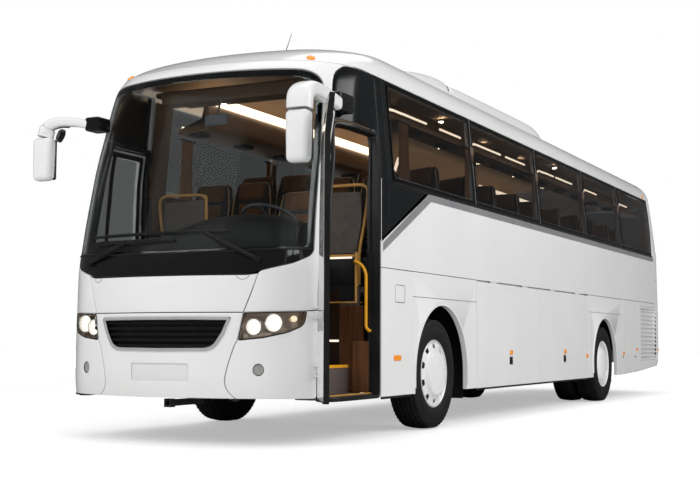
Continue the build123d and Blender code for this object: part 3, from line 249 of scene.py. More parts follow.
def lathe(profile: Sequence[tuple[float, float]], centre: Sequence[float],
          axis: Sequence[float], segments: int = 48) -> Form:
    """A profile spun about an axis.

    The ring for (radius r, height h) is centre + h axis + r (cos a E + sin a F), with E and F
    square to the axis.  A radius of zero closes an end in a pole.

    Args:
        profile: (radius, height) corners, from one end of the axis to the other.
        centre: Where height is zero.
        axis: Direction of growing height.
        segments: Points round the axis.

    Returns:
        The form, closed where its profile starts and ends on the axis.
    """
    w = unit(np.asarray(axis, float))
    e = unit(np.cross(w, (1.0, 0.0, 0.0) if abs(w[0]) < 0.9 else (0.0, 1.0, 0.0)))
    f = np.cross(w, e)
    r, h = np.asarray(profile, float).T
    a = np.linspace(0, 2 * math.pi, segments, endpoint=False)
    rings = np.asarray(centre, float) + h[:, None, None] * w + r[:, None, None] * (
        np.cos(a)[None, :, None] * e + np.sin(a)[None, :, None] * f)
    if r[0] == 0 and r[-1] == 0:
        form = lofted(rings[1:-1])
        form.points[-2:] = rings[0, 0], rings[-1, 0]
        return form
    return Form(rings.reshape(-1, 3), [net(len(r), segments, False, True)])


def disc(radius: float, height: float, centre: Sequence[float], axis: Sequence[float],
         edge: float, segments: int = 40, crown: float = 0.0) -> Form:
    """A round plate with a rolled edge and a crowned face.

    Args:
        radius: Of the rim.
        height: Thickness along the axis.
        centre: Middle of the lower face.
        axis: Which way the crowned face looks.
        edge: Radius of the rolled edge.
        segments: Points round the rim.
        crown: How far the middle stands above the rim.

    Returns:
        The closed form.
    """
    roll = np.linspace(0, math.pi / 2, 4)
    rim = [(radius - edge * (1 - math.cos(a)), height - edge * (1 - math.sin(a))) for a in roll]
    dome = [(rim[-1][0] * s, rim[-1][1] + crown * (1 - s * s)) for s in (0.75, 0.45, 0.2)]
    return lathe([(0, 0), (radius, 0)] + rim + dome + [(0, rim[-1][1] + crown)], centre, axis,
                 segments)


def bar(points: Sequence[Sequence[float]], count: int, radius: float | Array, sides: int,
        **shape: object) -> Form:
    """A bar along the smooth line through points.

    Args:
        points: What its middle passes through.
        count: Rings along it.
        radius: Radius, or one for each ring.
        sides: Points round it.
        shape: What else `tube` takes.

    Returns:
        The closed form.
    """
    return tube(curve_through(points, count), radius, sides, **shape)


def rounded_block(low: Sequence[float], high: Sequence[float], radius: float,
                  steps: int = 3, spare: int = 1) -> Form:
    """A box whose edges and corners are rolled to a radius.

    Each point p of the box's skin moves to q + radius (p - q) / |p - q|, where q is p held
    inside the box shrunk by the radius.

    Args:
        low: Lowest corner.
        high: Highest corner.
        radius: Of every edge.
        steps: Points across each rolled edge.
        spare: Spans across each flat face.

    Returns:
        The closed form.
    """
    lo, hi = np.minimum(low, high).astype(float), np.maximum(low, high).astype(float)
    radius = min(radius, 0.499 * float((hi - lo).min()))
    bend = radius * (1 - np.tan(np.linspace(math.pi / 4, 0, steps + 1)))
    lines = [np.concatenate([l + bend, np.linspace(l + radius, h - radius, spare + 1)[1:-1],
                             h - bend[::-1]]) for l, h in zip(lo, hi)]
    forms = []
    for axis in range(3):
        i, j = (axis + 1) % 3, (axis + 2) % 3
        a, b = np.meshgrid(lines[i], lines[j], indexing="ij")
        for end, value in ((0, lo[axis]), (1, hi[axis])):
            p = np.empty(a.shape + (3,))
            p[..., axis], p[..., i], p[..., j] = value, a, b
            face = net(*a.shape)
            forms.append(Form(p.reshape(-1, 3), [face if end else face[:, ::-1]]))
    form = joined(forms)
    q = np.clip(form.points, lo + radius, hi - radius)
    form.points = q + radius * unit(form.points - q)
    return form


# ---------------------------------------------------------------- flat outlines
def filleted(corners: Sequence[tuple[float, float, float]], steps: int = 6) -> Array:
    """A closed flat outline with its corners rounded.

    Each corner is replaced by a quadratic Bezier curve that starts and ends its radius away.

    Args:
        corners: (first, second, radius) for each corner, in order.
        steps: Points across each rounded corner.

    Returns:
        The outline's points, in order.
    """
    out = []
    count = len(corners)
    for k, (a, b, radius) in enumerate(corners):
        here = np.array((a, b))
        if radius <= 0:
            out.append(here[None])
            continue
        ends = []
        for other in (corners[k - 1], corners[(k + 1) % count]):
            way = np.array(other[:2]) - here
            length = np.linalg.norm(way)
            ends.append(here + way / length * min(radius, 0.48 * length))
        t = np.linspace(0, 1, steps)[:, None]
        out.append((1 - t) ** 2 * ends[0] + 2 * t * (1 - t) * here + t ** 2 * ends[1])
    return np.vstack(out)


def evenly(loop: Array, step: float) -> Array:
    """A closed outline with points added so that none are further apart than a step.

    Args:
        loop: The outline's corners.
        step: Largest distance between neighbours.

    Returns:
        The finer outline.
    """
    parts = []
    for start, end in zip(loop, np.roll(loop, -1, axis=0)):
        count = max(1, int(math.ceil(np.linalg.norm(end - start) / step)))
        parts.append(start + (end - start) * (np.arange(count) / count)[:, None])
    return np.vstack(parts)


def inside(points: Array, loop: Array) -> npt.NDArray[np.bool_]:
    """Which points lie inside a closed outline, by counting crossings.

    Args:
        points: Flat points to test.
        loop: The outline.

    Returns:
        True for each point inside.
    """
    x, y = points[:, 0, None], points[:, 1, None]
    x0, y0 = loop[:, 0], loop[:, 1]
    x1, y1 = np.roll(x0, -1), np.roll(y0, -1)
    rise = np.where(y1 == y0, 1e-12, y1 - y0)
    crossed = ((y0 > y) != (y1 > y)) & (x < (x1 - x0) * (y - y0) / rise + x0)
    return crossed.sum(axis=1) % 2 == 1


def turned_left(loop: Array) -> Array:
    """An outline in the anticlockwise order."""
    x, y = loop.T
    return loop if np.sum(x * np.roll(y, -1) - np.roll(x, -1) * y) > 0 else loop[::-1]


def grown(loop: Array, by: float) -> Array:
    """An anticlockwise outline moved outwards along its corner normals.

    Args:
        loop: The outline.
        by: Distance outwards; inwards if negative.

    Returns:
        The moved outline, in anticlockwise order.
    """
    loop = turned_left(loop)
    ahead = unit(np.roll(loop, -1, axis=0) - loop)
    out = np.stack([ahead[:, 1], -ahead[:, 0]], axis=1)
    mean = unit(out + np.roll(out, 1, axis=0))
    miter = 1 / np.maximum((mean * out).sum(axis=1, keepdims=True), 0.5)
    return loop + mean * miter * by


# ---------------------------------------------------------------- curved skins
def table_curve(at: Array, knots: Array, values: Array) -> Array:
    """A smooth line through a table that never overshoots between two rows.

    Cubic Hermite spans, whose slope at a row is the harmonic mean of the spans beside it.

    Args:
        at: Where to read the table.
        knots: Its first column, rising.
        values: Its second column.

    Returns:
        One value for each place read.
    """
    h = np.diff(knots)
    slope = np.diff(values) / h
    product = slope[:-1] * slope[1:]
    total = np.where(np.abs(slope[:-1] + slope[1:]) < 1e-12, 1.0, slope[:-1] + slope[1:])
    tangents = np.concatenate([slope[:1], np.where(product > 0, 2 * product / total, 0.0),
                               slope[-1:]])
    at = np.clip(at, knots[0], knots[-1])
    k = np.clip(np.searchsorted(knots, at, side="right") - 1, 0, len(h) - 1)
    t = (at - knots[k]) / h[k]
    return ((2 * t ** 3 - 3 * t ** 2 + 1) * values[k] + (t ** 3 - 2 * t ** 2 + t) * h[k]
            * tangents[k] + (3 * t ** 2 - 2 * t ** 3) * values[k + 1]
            + (t ** 3 - t ** 2) * h[k] * tangents[k + 1])


class Skin:
    """A curved surface that panels are cut from, as a point for each (u, z)."""

    outward = 1.0

    def point(self, u: Array, z: Array) -> Array:
        """Points of the surface; each kind of skin gives its own.

        Args:
            u: First parameter.
            z: Height.

        Returns:
            One point for each pair.
        """
        raise NotImplementedError

    def normal(self, u: Array, z: Array) -> Array:
        """Outward direction of length one: the cross product of small steps along u and z.

        Args:
            u: First parameter.
            z: Height.

        Returns:
            One direction for each pair.
        """
        e = 1e-4
        return unit(np.cross(self.point(u + e, z) - self.point(u - e, z),
                             self.point(u, z + e) - self.point(u, z - e)) * self.outward)

    def sunk(self, u: Array, z: Array, depth: float) -> Array:
        """Points that lie a depth under the surface."""
        return self.point(u, z) - depth * self.normal(u, z)


@dataclass
class EndSkin(Skin):
    """Nose or tail: a wide arc with a corner arc each side, shifted and narrowed by height.

    In plan, u from 0 to 1 is the wide arc, 1 to 2 the corner and 2 to 3 the straight side;
    a negative u is the right side.

    Attributes:
        rows: (height, distance behind the foremost line, half width).
        centre_x: Centre of the wide arc where that distance is zero.
        radius: Of the wide arc.
        corner: Of the corner arcs.
        join_x: Where the straight sides end.
        sense: 1 for the nose and -1 for the tail.
    """

    rows: tuple[tuple[float, float, float], ...]
    centre_x: float
    radius: float
    corner: float
    join_x: float
    sense: float = 1.0

    def __post_init__(self) -> None:
        """Take the outward sense from the end that this is."""
        self.outward = self.sense

    def plan(self, z: Array) -> tuple[Array, Array, Array, Array, Array]:
        """The plan at each height.

        Args:
            z: Height.

        Returns:
            X of the wide arc's centre, X and Y of the corner's centre, the angle at which one
            hands over to the other, and the half width.
        """
        table = np.asarray(self.rows, float)
        back = table_curve(z, table[:, 0], table[:, 1])
        half = table_curve(z, table[:, 0], table[:, 2])
        cy = half - self.corner
        reach = np.sqrt((self.radius - self.corner) ** 2 - cy ** 2)
        arc_x = self.centre_x - self.sense * back
        return arc_x, arc_x + self.sense * reach, cy, np.arctan2(cy, reach), half

    def point(self, u: Array, z: Array) -> Array:
        """Points of the surface.

        Args:
            u: Place along the plan.
            z: Height.

        Returns:
            One point for each pair.
        """
        u, z = np.broadcast_arrays(np.asarray(u, float), np.asarray(z, float))
        arc_x, corner_x, cy, turn, half = self.plan(z)
        a = np.abs(u)
        wide = np.clip(a, 0, 1) * turn
        bend = turn + np.clip(a - 1, 0, 1) * (math.pi / 2 - turn)
        x = np.where(a <= 1, arc_x + self.sense * self.radius * np.cos(wide),
                     corner_x + self.sense * self.corner * np.cos(bend))
        y = np.where(a <= 1, self.radius * np.sin(wide), cy + self.corner * np.sin(bend))
        x = np.where(a > 2, corner_x + (a - 2) * (self.join_x - corner_x), x)
        y = np.where(a > 2, half, y)
        return np.stack([x, y * np.sign(u), z], axis=-1)

    def u_at_y(self, y: Array, z: Array) -> Array:
        """The parameter where the surface has a given Y in front of the straight sides.

        Args:
            y: Distance from the middle.
            z: Height.

        Returns:
            One parameter for each pair.
        """
        y, z = np.broadcast_arrays(np.asarray(y, float), np.asarray(z, float))
        _, _, cy, turn, _ = self.plan(z)
        a = np.abs(y)
        wide = np.arcsin(np.clip(a / self.radius, 0, 1)) / turn
        bend = np.arcsin(np.clip((a - cy) / self.corner, -1, 1))
        corner = 1 + (bend - turn) / (math.pi / 2 - turn)
        return np.sign(y) * np.where(a <= self.radius * np.sin(turn), wide, corner)

    def u_at_x(self, x: Array, z: Array) -> Array:
        """The positive parameter where the surface has a given X.

        Args:
            x: Distance along the coach.
            z: Height.

        Returns:
            One parameter for each pair.
        """
        x, z = np.broadcast_arrays(np.asarray(x, float), np.asarray(z, float))
        arc_x, corner_x, _, turn, _ = self.plan(z)
        ahead = (x - corner_x) * self.sense
        bend = np.arccos(np.clip(ahead / self.corner, -1, 1))
        corner = 1 + (bend - turn) / (math.pi / 2 - turn)
        wide = np.arccos(np.clip((x - arc_x) * self.sense / self.radius, -1, 1)) / turn
        line = 2 + (x - corner_x) / (self.join_x - corner_x)
        return np.where(ahead < 0, line, np.where(bend < turn, wide, corner))


@dataclass
class SideSkin(Skin):
    """The coach's left side: upright to the waist, then leaning in to the eaves.

    Here u is X, so the outward sense is turned round.
    """

    outward = -1.0

    def point(self, u: Array, z: Array) -> Array:
        """Points of the side: Y is HALF up to the waist and falls in a straight line above.

        Args:
            u: Distance along the coach.
            z: Height.

        Returns:
            One point for each pair.
        """
        u, z = np.broadcast_arrays(np.asarray(u, float), np.asarray(z, float))
        lean = np.clip((z - WAIST_Z) / (EAVE_Z - WAIST_Z), 0, None)
        return np.stack([u, HALF - (HALF - EAVE_HALF) * lean, z], axis=-1)


def trimmed(outline: Array, holes: Sequence[Array], step: float) -> tuple[Array, Faces,
                                                                         list[Faces]]:
    """Triangles that fill a flat outline round its holes.

    Args:
        outline: The outer edge.
        holes: Edges of the openings.
        step: Size of a triangle.

    Returns:
        Flat points, triangles, and for each edge its point numbers in order, the outer one
        anticlockwise and the holes clockwise.
    """
    loops = [evenly(turned_left(outline), step)]
    loops += [evenly(turned_left(hole), step)[::-1] for hole in holes]
    edge = np.vstack(loops)
    low, high = loops[0].min(0), loops[0].max(0)
    count = np.maximum(1, np.round((high - low) / step)).astype(int)
    gx = low[0] + (np.arange(count[0]) + 0.5) * (high[0] - low[0]) / count[0]
    gy = low[1] + (np.arange(count[1]) + 0.5) * (high[1] - low[1]) / count[1]
    grid = np.stack(np.meshgrid(gx, gy, indexing="ij"), axis=-1).reshape(-1, 2)
    grid = grid[inside(grid, loops[0])]
    for hole in loops[1:]:
        grid = grid[~inside(grid, hole)]
    near = np.array([np.min(np.sum((edge - p) ** 2, axis=1)) for p in grid]) if len(grid) \
        else np.zeros(0)
    grid = grid[near > (0.62 * step) ** 2]
    starts = np.cumsum([0] + [len(loop) for loop in loops])
    edges = [(int(a + k), int(a + (k + 1) % (b - a)))
             for a, b in zip(starts, starts[1:]) for k in range(b - a)]
    flat, _, faces, source, _, _ = delaunay_2d_cdt(
        np.vstack([edge, grid]).tolist(), edges, [], 0, 1e-6)
    flat_points = np.array([tuple(v) for v in flat])
    triangles = np.array([f for f in faces if len(f) == 3], dtype=np.int64)
    middle = flat_points[triangles].mean(axis=1)
    keep = inside(middle, loops[0])
    for hole in loops[1:]:
        keep &= ~inside(middle, hole)
    triangles = triangles[keep]
    a, b, c = (flat_points[triangles[:, k]] for k in range(3))
    turn = np.cross(b - a, c - a)
    triangles[turn < 0] = triangles[turn < 0][:, ::-1]
    place = np.zeros(len(edge) + len(grid), dtype=np.int64)
    for new, olds in enumerate(source):
        place[list(olds)] = new
    return flat_points, triangles, [place[a:b] for a, b in zip(starts, starts[1:])]


def panel(skin: Skin, outline: Array, thickness: float, holes: Sequence[Array] = (),
          step: float = 0.05, roll: float = 0.004, sunk: float = 0.0) -> Form:
    """A panel cut from a skin, with rolled edges.

    The outer face is the skin at each flat point and the inner face lies a thickness under
    it.  Each edge is a quarter circle of radius `roll`, then a straight wall.

    Args:
        skin: The curved surface.
        outline: Its edge, as (u, z).
        thickness: Of the panel.
        holes: Edges of its openings.
        step: Size of a triangle.
        roll: Radius of the rolled edge.
        sunk: How far the whole panel lies under the skin.

    Returns:
        The closed form.
    """
    flat, triangles, edges = trimmed(outline, holes, step)
    u, z = flat.T
    n = skin.normal(u, z)
    outer = skin.point(u, z) - sunk * n
    inner = outer - thickness * n
    size = len(flat)
    rings: list[Array] = []
    faces: list[Faces] = []
    total = 2 * size
    sense = skin.outward
    for loop in edges:
        rim = outer[loop].copy()
        along = unit(np.roll(rim, -1, axis=0) - np.roll(rim, 1, axis=0))
        inwards = np.cross(n[loop], along) * sense
        outer[loop] = rim + roll * inwards
        stack = [rim + roll * (1 - math.sin(a)) * inwards - roll * (1 - math.cos(a)) * n[loop]
                 for a in (math.pi / 6, math.pi / 3, math.pi / 2)]
        rings.append(np.vstack(stack))
        numbers = [loop] + [total + k * len(loop) + np.arange(len(loop)) for k in range(3)]
        numbers.append(loop + size)
        total += 3 * len(loop)
        for upper, lower in zip(numbers, numbers[1:]):
            faces.append(np.stack([upper, lower, np.roll(lower, -1), np.roll(upper, -1)], axis=1))
    points = np.vstack([outer, inner] + rings)
    skins = [triangles, triangles[:, ::-1] + size]
    if sense < 0:
        skins = [f[:, ::-1] for f in skins]
    faces = [f if sense > 0 else f[:, ::-1] for f in faces]
    return Form(points, skins + faces)


def tray(skin: Skin, outline: Array, top: float, depth: float, thickness: float = 0.002,
         step: float = 0.03) -> Form:
    """A thin open recess: a floor under the skin with a wall up to it.

    Args:
        skin: The curved surface.
        outline: The recess's edge, as (u, z).
        top: Depth of the wall's upper edge.
        depth: Depth of the floor.
        thickness: Of floor and wall.
        step: Size of a triangle.

    Returns:
        The closed form.
    """
    loop = evenly(turned_left(outline), step)
    out = grown(loop, thickness)
    rows = [skin.sunk(*loop.T, depth), skin.sunk(*loop.T, top), skin.sunk(*out.T, top),
            skin.sunk(*out.T, depth + thickness)]
    size = len(loop)
    wall = Form(np.vstack(rows), [net(4, size, True, True)])
    if skin.outward > 0:
        wall.faces = [f[:, ::-1] for f in wall.faces]
    return joined([panel(skin, out, thickness, step=step, roll=thickness / 3, sunk=depth), wall])


# ---------------------------------------------------------------- finishes
COAT_ROUGHNESS = 0.04
RAMP_ENDS = (0.3, 0.75)


def arithmetic(tree: bpy.types.NodeTree, operation: str, first: bpy.types.NodeSocket,
               second: bpy.types.NodeSocket) -> bpy.types.NodeSocket:
    """Two values joined by a maths node.

    Args:
        tree: Where the node is made.
        operation: Blender's name for the sum.
        first: Left value.
        second: Right value.

    Returns:
        The result.
    """
    made = tree.nodes.new("ShaderNodeMath")
    made.operation = operation
    tree.links.new(first, made.inputs[0])
    tree.links.new(second, made.inputs[1])
    return made.outputs[0]


def remapped(tree: bpy.types.NodeTree, value: bpy.types.NodeSocket, low: float, high: float,
             start: float = 0.0, end: float = 1.0) -> bpy.types.NodeSocket:
    """A value mapped from start..end to low..high.

    Args:
        tree: Where the node is made.
        value: The value.
        low: Result at the start.
        high: Result at the end.
        start: Value that gives `low`.
        end: Value that gives `high`.

    Returns:
        The result.
    """
    made = tree.nodes.new("ShaderNodeMapRange")
    for socket, number in (("From Min", start), ("From Max", end), ("To Min", low),
                           ("To Max", high)):
        made.inputs[socket].default_value = number
    tree.links.new(value, made.inputs["Value"])
    return made.outputs["Result"]


@dataclass(frozen=True)
class Finish:
    """A surface's look, made from nodes that read Object coordinates.

    Attributes:
        name: Of the material.
        slot: The record's material slot; not used.
        colour: Main colour, linear.
        second: Colour that patches drift towards.
        rough: Roughness at its smoothest and its dullest.
        metal: 1 for bare metal.
        patch: Patches of colour and gloss to the metre.
        grain: Bumps to the metre.
        relief: Height of the bumps in metres.
        coat: Clear coat weight.
        sheen: Cloth sheen weight.
    """

    name: str
    slot: str
    colour: tuple[float, float, float]
    second: tuple[float, float, float]
    rough: tuple[float, float] = (0.3, 0.4)
    metal: float = 0.0
    patch: float = 3.0
    grain: float = 60.0
    relief: float = 0.0002
    coat: float = 0.0
    sheen: float = 0.0

    def material(self) -> bpy.types.Material:
        """The material, made once and then shared.

        Returns:
            The node material.
        """
        found = bpy.data.materials.get(self.name)
        if found is not None:
            return found
        made = bpy.data.materials.new(self.name)
        made.use_nodes = True
        made.diffuse_color = (*self.colour, 1.0)
        bench = Bench(made)
        bench.fixed(Metallic=self.metal, Coat_Weight=self.coat,
                    Coat_Roughness=COAT_ROUGHNESS, Sheen_Weight=self.sheen)
        self.dress(bench)
        return made

    def dress(self, bench: "Bench") -> None:
        """Link colour, roughness and bumps.

        Args:
            bench: The material's nodes.
        """
        patches = bench.noise(self.patch, detail=5.0)
        bench.colour(patches, self.colour, self.second)
        bench.roughness(patches, *self.rough)
        bench.bump(bench.noise(self.grain, detail=3.0), self.relief)


class Bench:
    """The nodes of one material, with short calls that add and link them."""

    def __init__(self, material: bpy.types.Material) -> None:
        """Find the material's shader and add Object coordinates.

        Args:
            material: With nodes already in use.
        """
        self.tree = material.node_tree
        self.shader = next(n for n in self.tree.nodes if n.type == "BSDF_PRINCIPLED")
        self.place = self.tree.nodes.new("ShaderNodeTexCoord").outputs["Object"]

    def node(self, kind: str, **inputs: object) -> bpy.types.Node:
        """A new node with some of its inputs set by name; a socket given is linked.

        Args:
            kind: Blender's name for the node type.
            inputs: Values or sockets, with spaces written as underscores.

        Returns:
            The node.
        """
        made = self.tree.nodes.new(kind)
        for key, value in inputs.items():
            socket = made.inputs[key.replace("_", " ")]
            if isinstance(value, bpy.types.NodeSocket):
                self.tree.links.new(value, socket)
            else:
                socket.default_value = value
        return made

    def link(self, value: bpy.types.NodeSocket, name: str) -> None:
        """Join a value to one of the shader's inputs."""
        self.tree.links.new(value, self.shader.inputs[name])

    def fixed(self, **inputs: object) -> None:
        """Set the shader's inputs by name, with spaces written as underscores."""
        for key, value in inputs.items():
            self.shader.inputs[key.replace("_", " ")].default_value = value

    def stretched(self, scale: Sequence[float]) -> bpy.types.NodeSocket:
        """Object coordinates scaled along each axis."""
        return self.node("ShaderNodeMapping", Vector=self.place,
                         Scale=tuple(scale)).outputs["Vector"]

    def noise(self, scale: float, detail: float = 2.0,
              place: bpy.types.NodeSocket | None = None) -> bpy.types.NodeSocket:
        """A cloudy pattern from 0 to 1."""
        return self.node("ShaderNodeTexNoise", Vector=place or self.place, Scale=scale,
                         Detail=detail).outputs["Fac"]

    def wave(self, scale: float, direction: str) -> bpy.types.NodeSocket:
        """Slightly warped bands square to an axis.

        Args:
            scale: Of the bands.
            direction: The axis.

        Returns:
            The pattern.
        """
        made = self.node("ShaderNodeTexWave", Vector=self.place, Scale=scale, Distortion=1.0)
        made.bands_direction = direction
        return made.outputs["Fac"]

    def colour(self, fac: bpy.types.NodeSocket, low: Sequence[float], high: Sequence[float],
               name: str = "Base Color") -> None:
        """Link a colour that drifts between two colours along a pattern.

        Args:
            fac: The pattern.
            low: Colour at its lower stop.
            high: Colour at its upper stop.
            name: The shader's input.
        """
        made = self.node("ShaderNodeValToRGB", Fac=fac)
        for stop, at, colour in zip(made.color_ramp.elements, RAMP_ENDS, (low, high)):
            stop.position, stop.color = at, (*colour, 1.0)
        self.link(made.outputs["Color"], name)

    def roughness(self, fac: bpy.types.NodeSocket, low: float, high: float) -> None:
        """Roughness that drifts between two values."""
        self.link(remapped(self.tree, fac, low, high), "Roughness")

    def bump(self, height: bpy.types.NodeSocket, relief: float) -> None:
        """Bumps of a height in metres."""
        made = self.node("ShaderNodeBump", Height=height, Strength=1.0, Distance=relief)
        self.link(made.outputs["Normal"], "Normal")


@dataclass(frozen=True)
class Pane(Finish):
    """Clear or tinted glass, with faint smears in its gloss.

    Attributes:
        clear: Share of the light that goes through.
        bend: Index of refraction, low so that the inner face mirrors little.
    """

    clear: float = 1.0
    bend: float = 1.14

    def dress(self, bench: Bench) -> None:
        """Let light through a smooth tinted body.

        Args:
            bench: The material's nodes.
        """
        bench.fixed(Transmission_Weight=self.clear, IOR=self.bend)
        bench.colour(bench.noise(self.patch), self.colour, self.second)
        bench.roughness(bench.noise(self.grain), *self.rough)


@dataclass(frozen=True)
class Glow(Finish):
    """A lit surface: a lamp's filament bowl or a strip of cabin light.

    Attributes:
        power: Strength of the light.
    """

    power: float = 5.0

    def dress(self, bench: Bench) -> None:
        """Give off light of the main colour, a little uneven.

        Args:
            bench: The material's nodes.
        """
        patches = bench.noise(self.patch, detail=2.0)
        bench.fixed(Emission_Strength=self.power)
        for name in ("Emission Color", "Base Color"):
            bench.colour(patches, self.colour, self.second, name)


@dataclass(frozen=True)
class Cloth(Finish):
    """Woven upholstery: crossed bands make the weave, and patches its wear.

    Attributes:
        thread: Threads to the metre.
    """

    thread: float = 700.0

    def dress(self, bench: Bench) -> None:
        """Weave two sets of threads and let the pile catch light.

        Args:
            bench: The material's nodes.
        """
        weave = arithmetic(bench.tree, "MULTIPLY", bench.wave(self.thread / 20, "X"),
                           bench.wave(self.thread / 20, "Z"))
        pattern = arithmetic(bench.tree, "ADD", bench.noise(self.patch, 4.0), weave)
        bench.colour(pattern, self.colour, self.second)
        bench.roughness(pattern, *self.rough)
        bench.bump(weave, self.relief)


@dataclass(frozen=True)
class Timber(Finish):
    """Wood-look board, whose grain runs upright."""

    def dress(self, bench: Bench) -> None:
        """Stretch the grain upwards.

        Args:
            bench: The material's nodes.
        """
        grain = bench.noise(self.patch, 6.0, bench.stretched((14.0, 14.0, 1.0)))
        bench.colour(grain, self.colour, self.second)
        bench.roughness(grain, *self.rough)
        bench.bump(grain, self.relief)


@dataclass(frozen=True)
class Pimpled(Finish):
    """Floor covering with raised studs between its patches."""

    def dress(self, bench: Bench) -> None:
        """Raise a dot in each cell of a pattern.

        Args:
            bench: The material's nodes.
        """
        cells = bench.node("ShaderNodeTexVoronoi", Vector=bench.place, Scale=self.grain)
        patches = bench.noise(self.patch, 4.0)
        bench.colour(patches, self.colour, self.second)
        bench.roughness(patches, *self.rough)
        bench.bump(cells.outputs["Distance"], self.relief)


PAINT = Finish("white_coachwork", "body_paint", (0.80, 0.80, 0.795), (0.835, 0.835, 0.83),
               (0.16, 0.24), patch=1.5, grain=900.0, relief=0.00002, coat=0.6)
# Dark seams and rubber, and also the painted shadow line at the roof pod's foot.
SEAM_BLACK = Finish("seam_rubber", "black_trim", (0.008, 0.008, 0.009), (0.014, 0.014, 0.015),
                    (0.45, 0.6), grain=400.0, relief=0.0001)
GLOSS_BLACK = Finish("gloss_black", "black_trim", (0.006, 0.006, 0.007), (0.010, 0.010, 0.011),
                     (0.06, 0.12), patch=2.0, grain=300.0, relief=0.00001, coat=0.5)
FRAME_BLACK = Finish("frame_black", "black_trim", (0.010, 0.010, 0.011), (0.018, 0.018, 0.019),
                     (0.28, 0.4), patch=4.0, grain=500.0, relief=0.00008)
SCREEN = Pane("screen_glass_clear", "screen_glass", (0.90, 0.935, 0.93), (0.93, 0.955, 0.95),
              (0.0, 0.015), patch=1.0, grain=4.0)
TINT = Pane("side_glass_tinted", "side_glass", (0.44, 0.45, 0.46), (0.48, 0.49, 0.50),
            (0.0, 0.02), patch=0.8, grain=3.0)
DARK_PANE = Finish("dark_backed_glass", "side_glass", (0.004, 0.005, 0.006),
                   (0.007, 0.008, 0.009), (0.14, 0.22), patch=1.2, grain=3.0, relief=0.00001)
BRIGHT = Finish("bright_strip", "bright_trim", (0.58, 0.59, 0.61), (0.66, 0.67, 0.69),
                (0.24, 0.32), metal=0.7, patch=1.5, grain=500.0, relief=0.00002)
CHROME = Finish("chrome_plate", "bright_trim", (0.80, 0.81, 0.83), (0.88, 0.89, 0.90),
                (0.06, 0.14), metal=0.6, patch=8.0, grain=90.0, relief=0.00001)
SLAT = Finish("grille_slats", "black_trim", (0.006, 0.006, 0.007), (0.012, 0.012, 0.013),
              (0.25, 0.4), patch=12.0, grain=700.0, relief=0.00005)
TREAD = Finish("tread_rubber", "tyre", (0.007, 0.007, 0.007), (0.014, 0.013, 0.013),
               (0.62, 0.8), patch=9.0, grain=260.0, relief=0.0004)
RIM = Finish("rim_silver", "rim_metal", (0.66, 0.67, 0.68), (0.75, 0.76, 0.77), (0.25, 0.4),
             metal=0.25, patch=14.0, grain=500.0, relief=0.00006, coat=0.2)
COVER = Finish("wheel_cover_white", "wheel_cover", (0.76, 0.76, 0.76), (0.81, 0.81, 0.81),
               (0.25, 0.38), patch=10.0, grain=400.0, relief=0.00005, coat=0.2)
LENS = Pane("lamp_lens", "lamp_clear", (0.97, 0.97, 0.97), (0.99, 0.99, 0.99), (0.0, 0.02))
# The trays' warm brown-gold is partly painted glow: it stands for the lit lamps' warm light in the
# reflectors.
BOWL = Finish("lamp_bowl", "lamp_clear", (0.46, 0.37, 0.29), (0.60, 0.50, 0.41), (0.10, 0.2),
              metal=0.5, patch=30.0, grain=120.0, relief=0.0001)
BEAM = Glow("lamp_lit", "lamp_clear", (1.0, 0.90, 0.72), (1.0, 0.96, 0.88), power=0.95,
            patch=20.0)
SIDE_BEAM = Glow("side_lamp_lit", "lamp_clear", (1.0, 0.80, 0.52), (1.0, 0.88, 0.66), power=0.7,
                 patch=20.0)
AMBER = Finish("amber_lens", "hand_rail", (0.90, 0.27, 0.015), (1.0, 0.36, 0.03), (0.08, 0.16),
               patch=40.0, grain=240.0, relief=0.0003, coat=0.3)
RED = Finish("red_lens", "lamp_red", (0.42, 0.008, 0.006), (0.58, 0.014, 0.01), (0.08, 0.16),
             patch=30.0, grain=200.0, relief=0.0003, coat=0.4)
FABRIC = Cloth("seat_cloth_brown", "seat_fabric", (0.070, 0.028, 0.010), (0.125, 0.052, 0.020),
               (0.75, 0.92), patch=5.0, grain=200.0, relief=0.0005, sheen=0.25)
FABRIC_DARK = Cloth("seat_cloth_black", "seat_fabric", (0.012, 0.011, 0.011),
                    (0.026, 0.023, 0.021), (0.7, 0.9), patch=6.0, relief=0.0005, sheen=0.2)
BRASS = Finish("brass_rail", "rack_trim", (0.50, 0.25, 0.06), (0.62, 0.33, 0.09), (0.3, 0.45),
               patch=8.0, grain=500.0, relief=0.0001)
PIPING = Finish("seat_piping", "seat_fabric", (0.50, 0.28, 0.12), (0.60, 0.36, 0.18),
                (0.5, 0.7), patch=30.0, grain=600.0, relief=0.0002)
CURTAIN = Cloth("curtain_cloth", "curtain_cloth", (0.13, 0.062, 0.028), (0.22, 0.115, 0.055),
                (0.8, 0.95), patch=4.0, relief=0.0003, sheen=0.4, thread=1100.0)
VINYL = Pimpled("floor_vinyl", "floor_vinyl", (0.050, 0.040, 0.034), (0.085, 0.068, 0.056),
                (0.45, 0.6), patch=3.0, grain=130.0, relief=0.0006)
PLASTIC = Finish("cabin_plastic", "cabin_plastic", (0.022, 0.022, 0.024),
                 (0.038, 0.037, 0.039), (0.5, 0.7), patch=4.0, grain=800.0, relief=0.00025)
DASH = Finish("dash_moulding", "cabin_plastic", (0.008, 0.008, 0.009), (0.014, 0.014, 0.015),
              (0.55, 0.75), patch=4.0, grain=800.0, relief=0.00025)
LINING = Finish("cabin_lining", "rack_trim", (0.40, 0.27, 0.17), (0.50, 0.35, 0.23),
                (0.6, 0.8), patch=2.0, grain=700.0, relief=0.0002)
RACK = Finish("rack_trim_brown", "rack_trim", (0.20, 0.105, 0.05), (0.30, 0.165, 0.085),
              (0.35, 0.5), patch=3.0, grain=500.0, relief=0.00015)
WOOD = Timber("wood_board", "rack_trim", (0.050, 0.018, 0.007), (0.12, 0.045, 0.018),
              (0.25, 0.4), patch=2.2, relief=0.0002, coat=0.3)
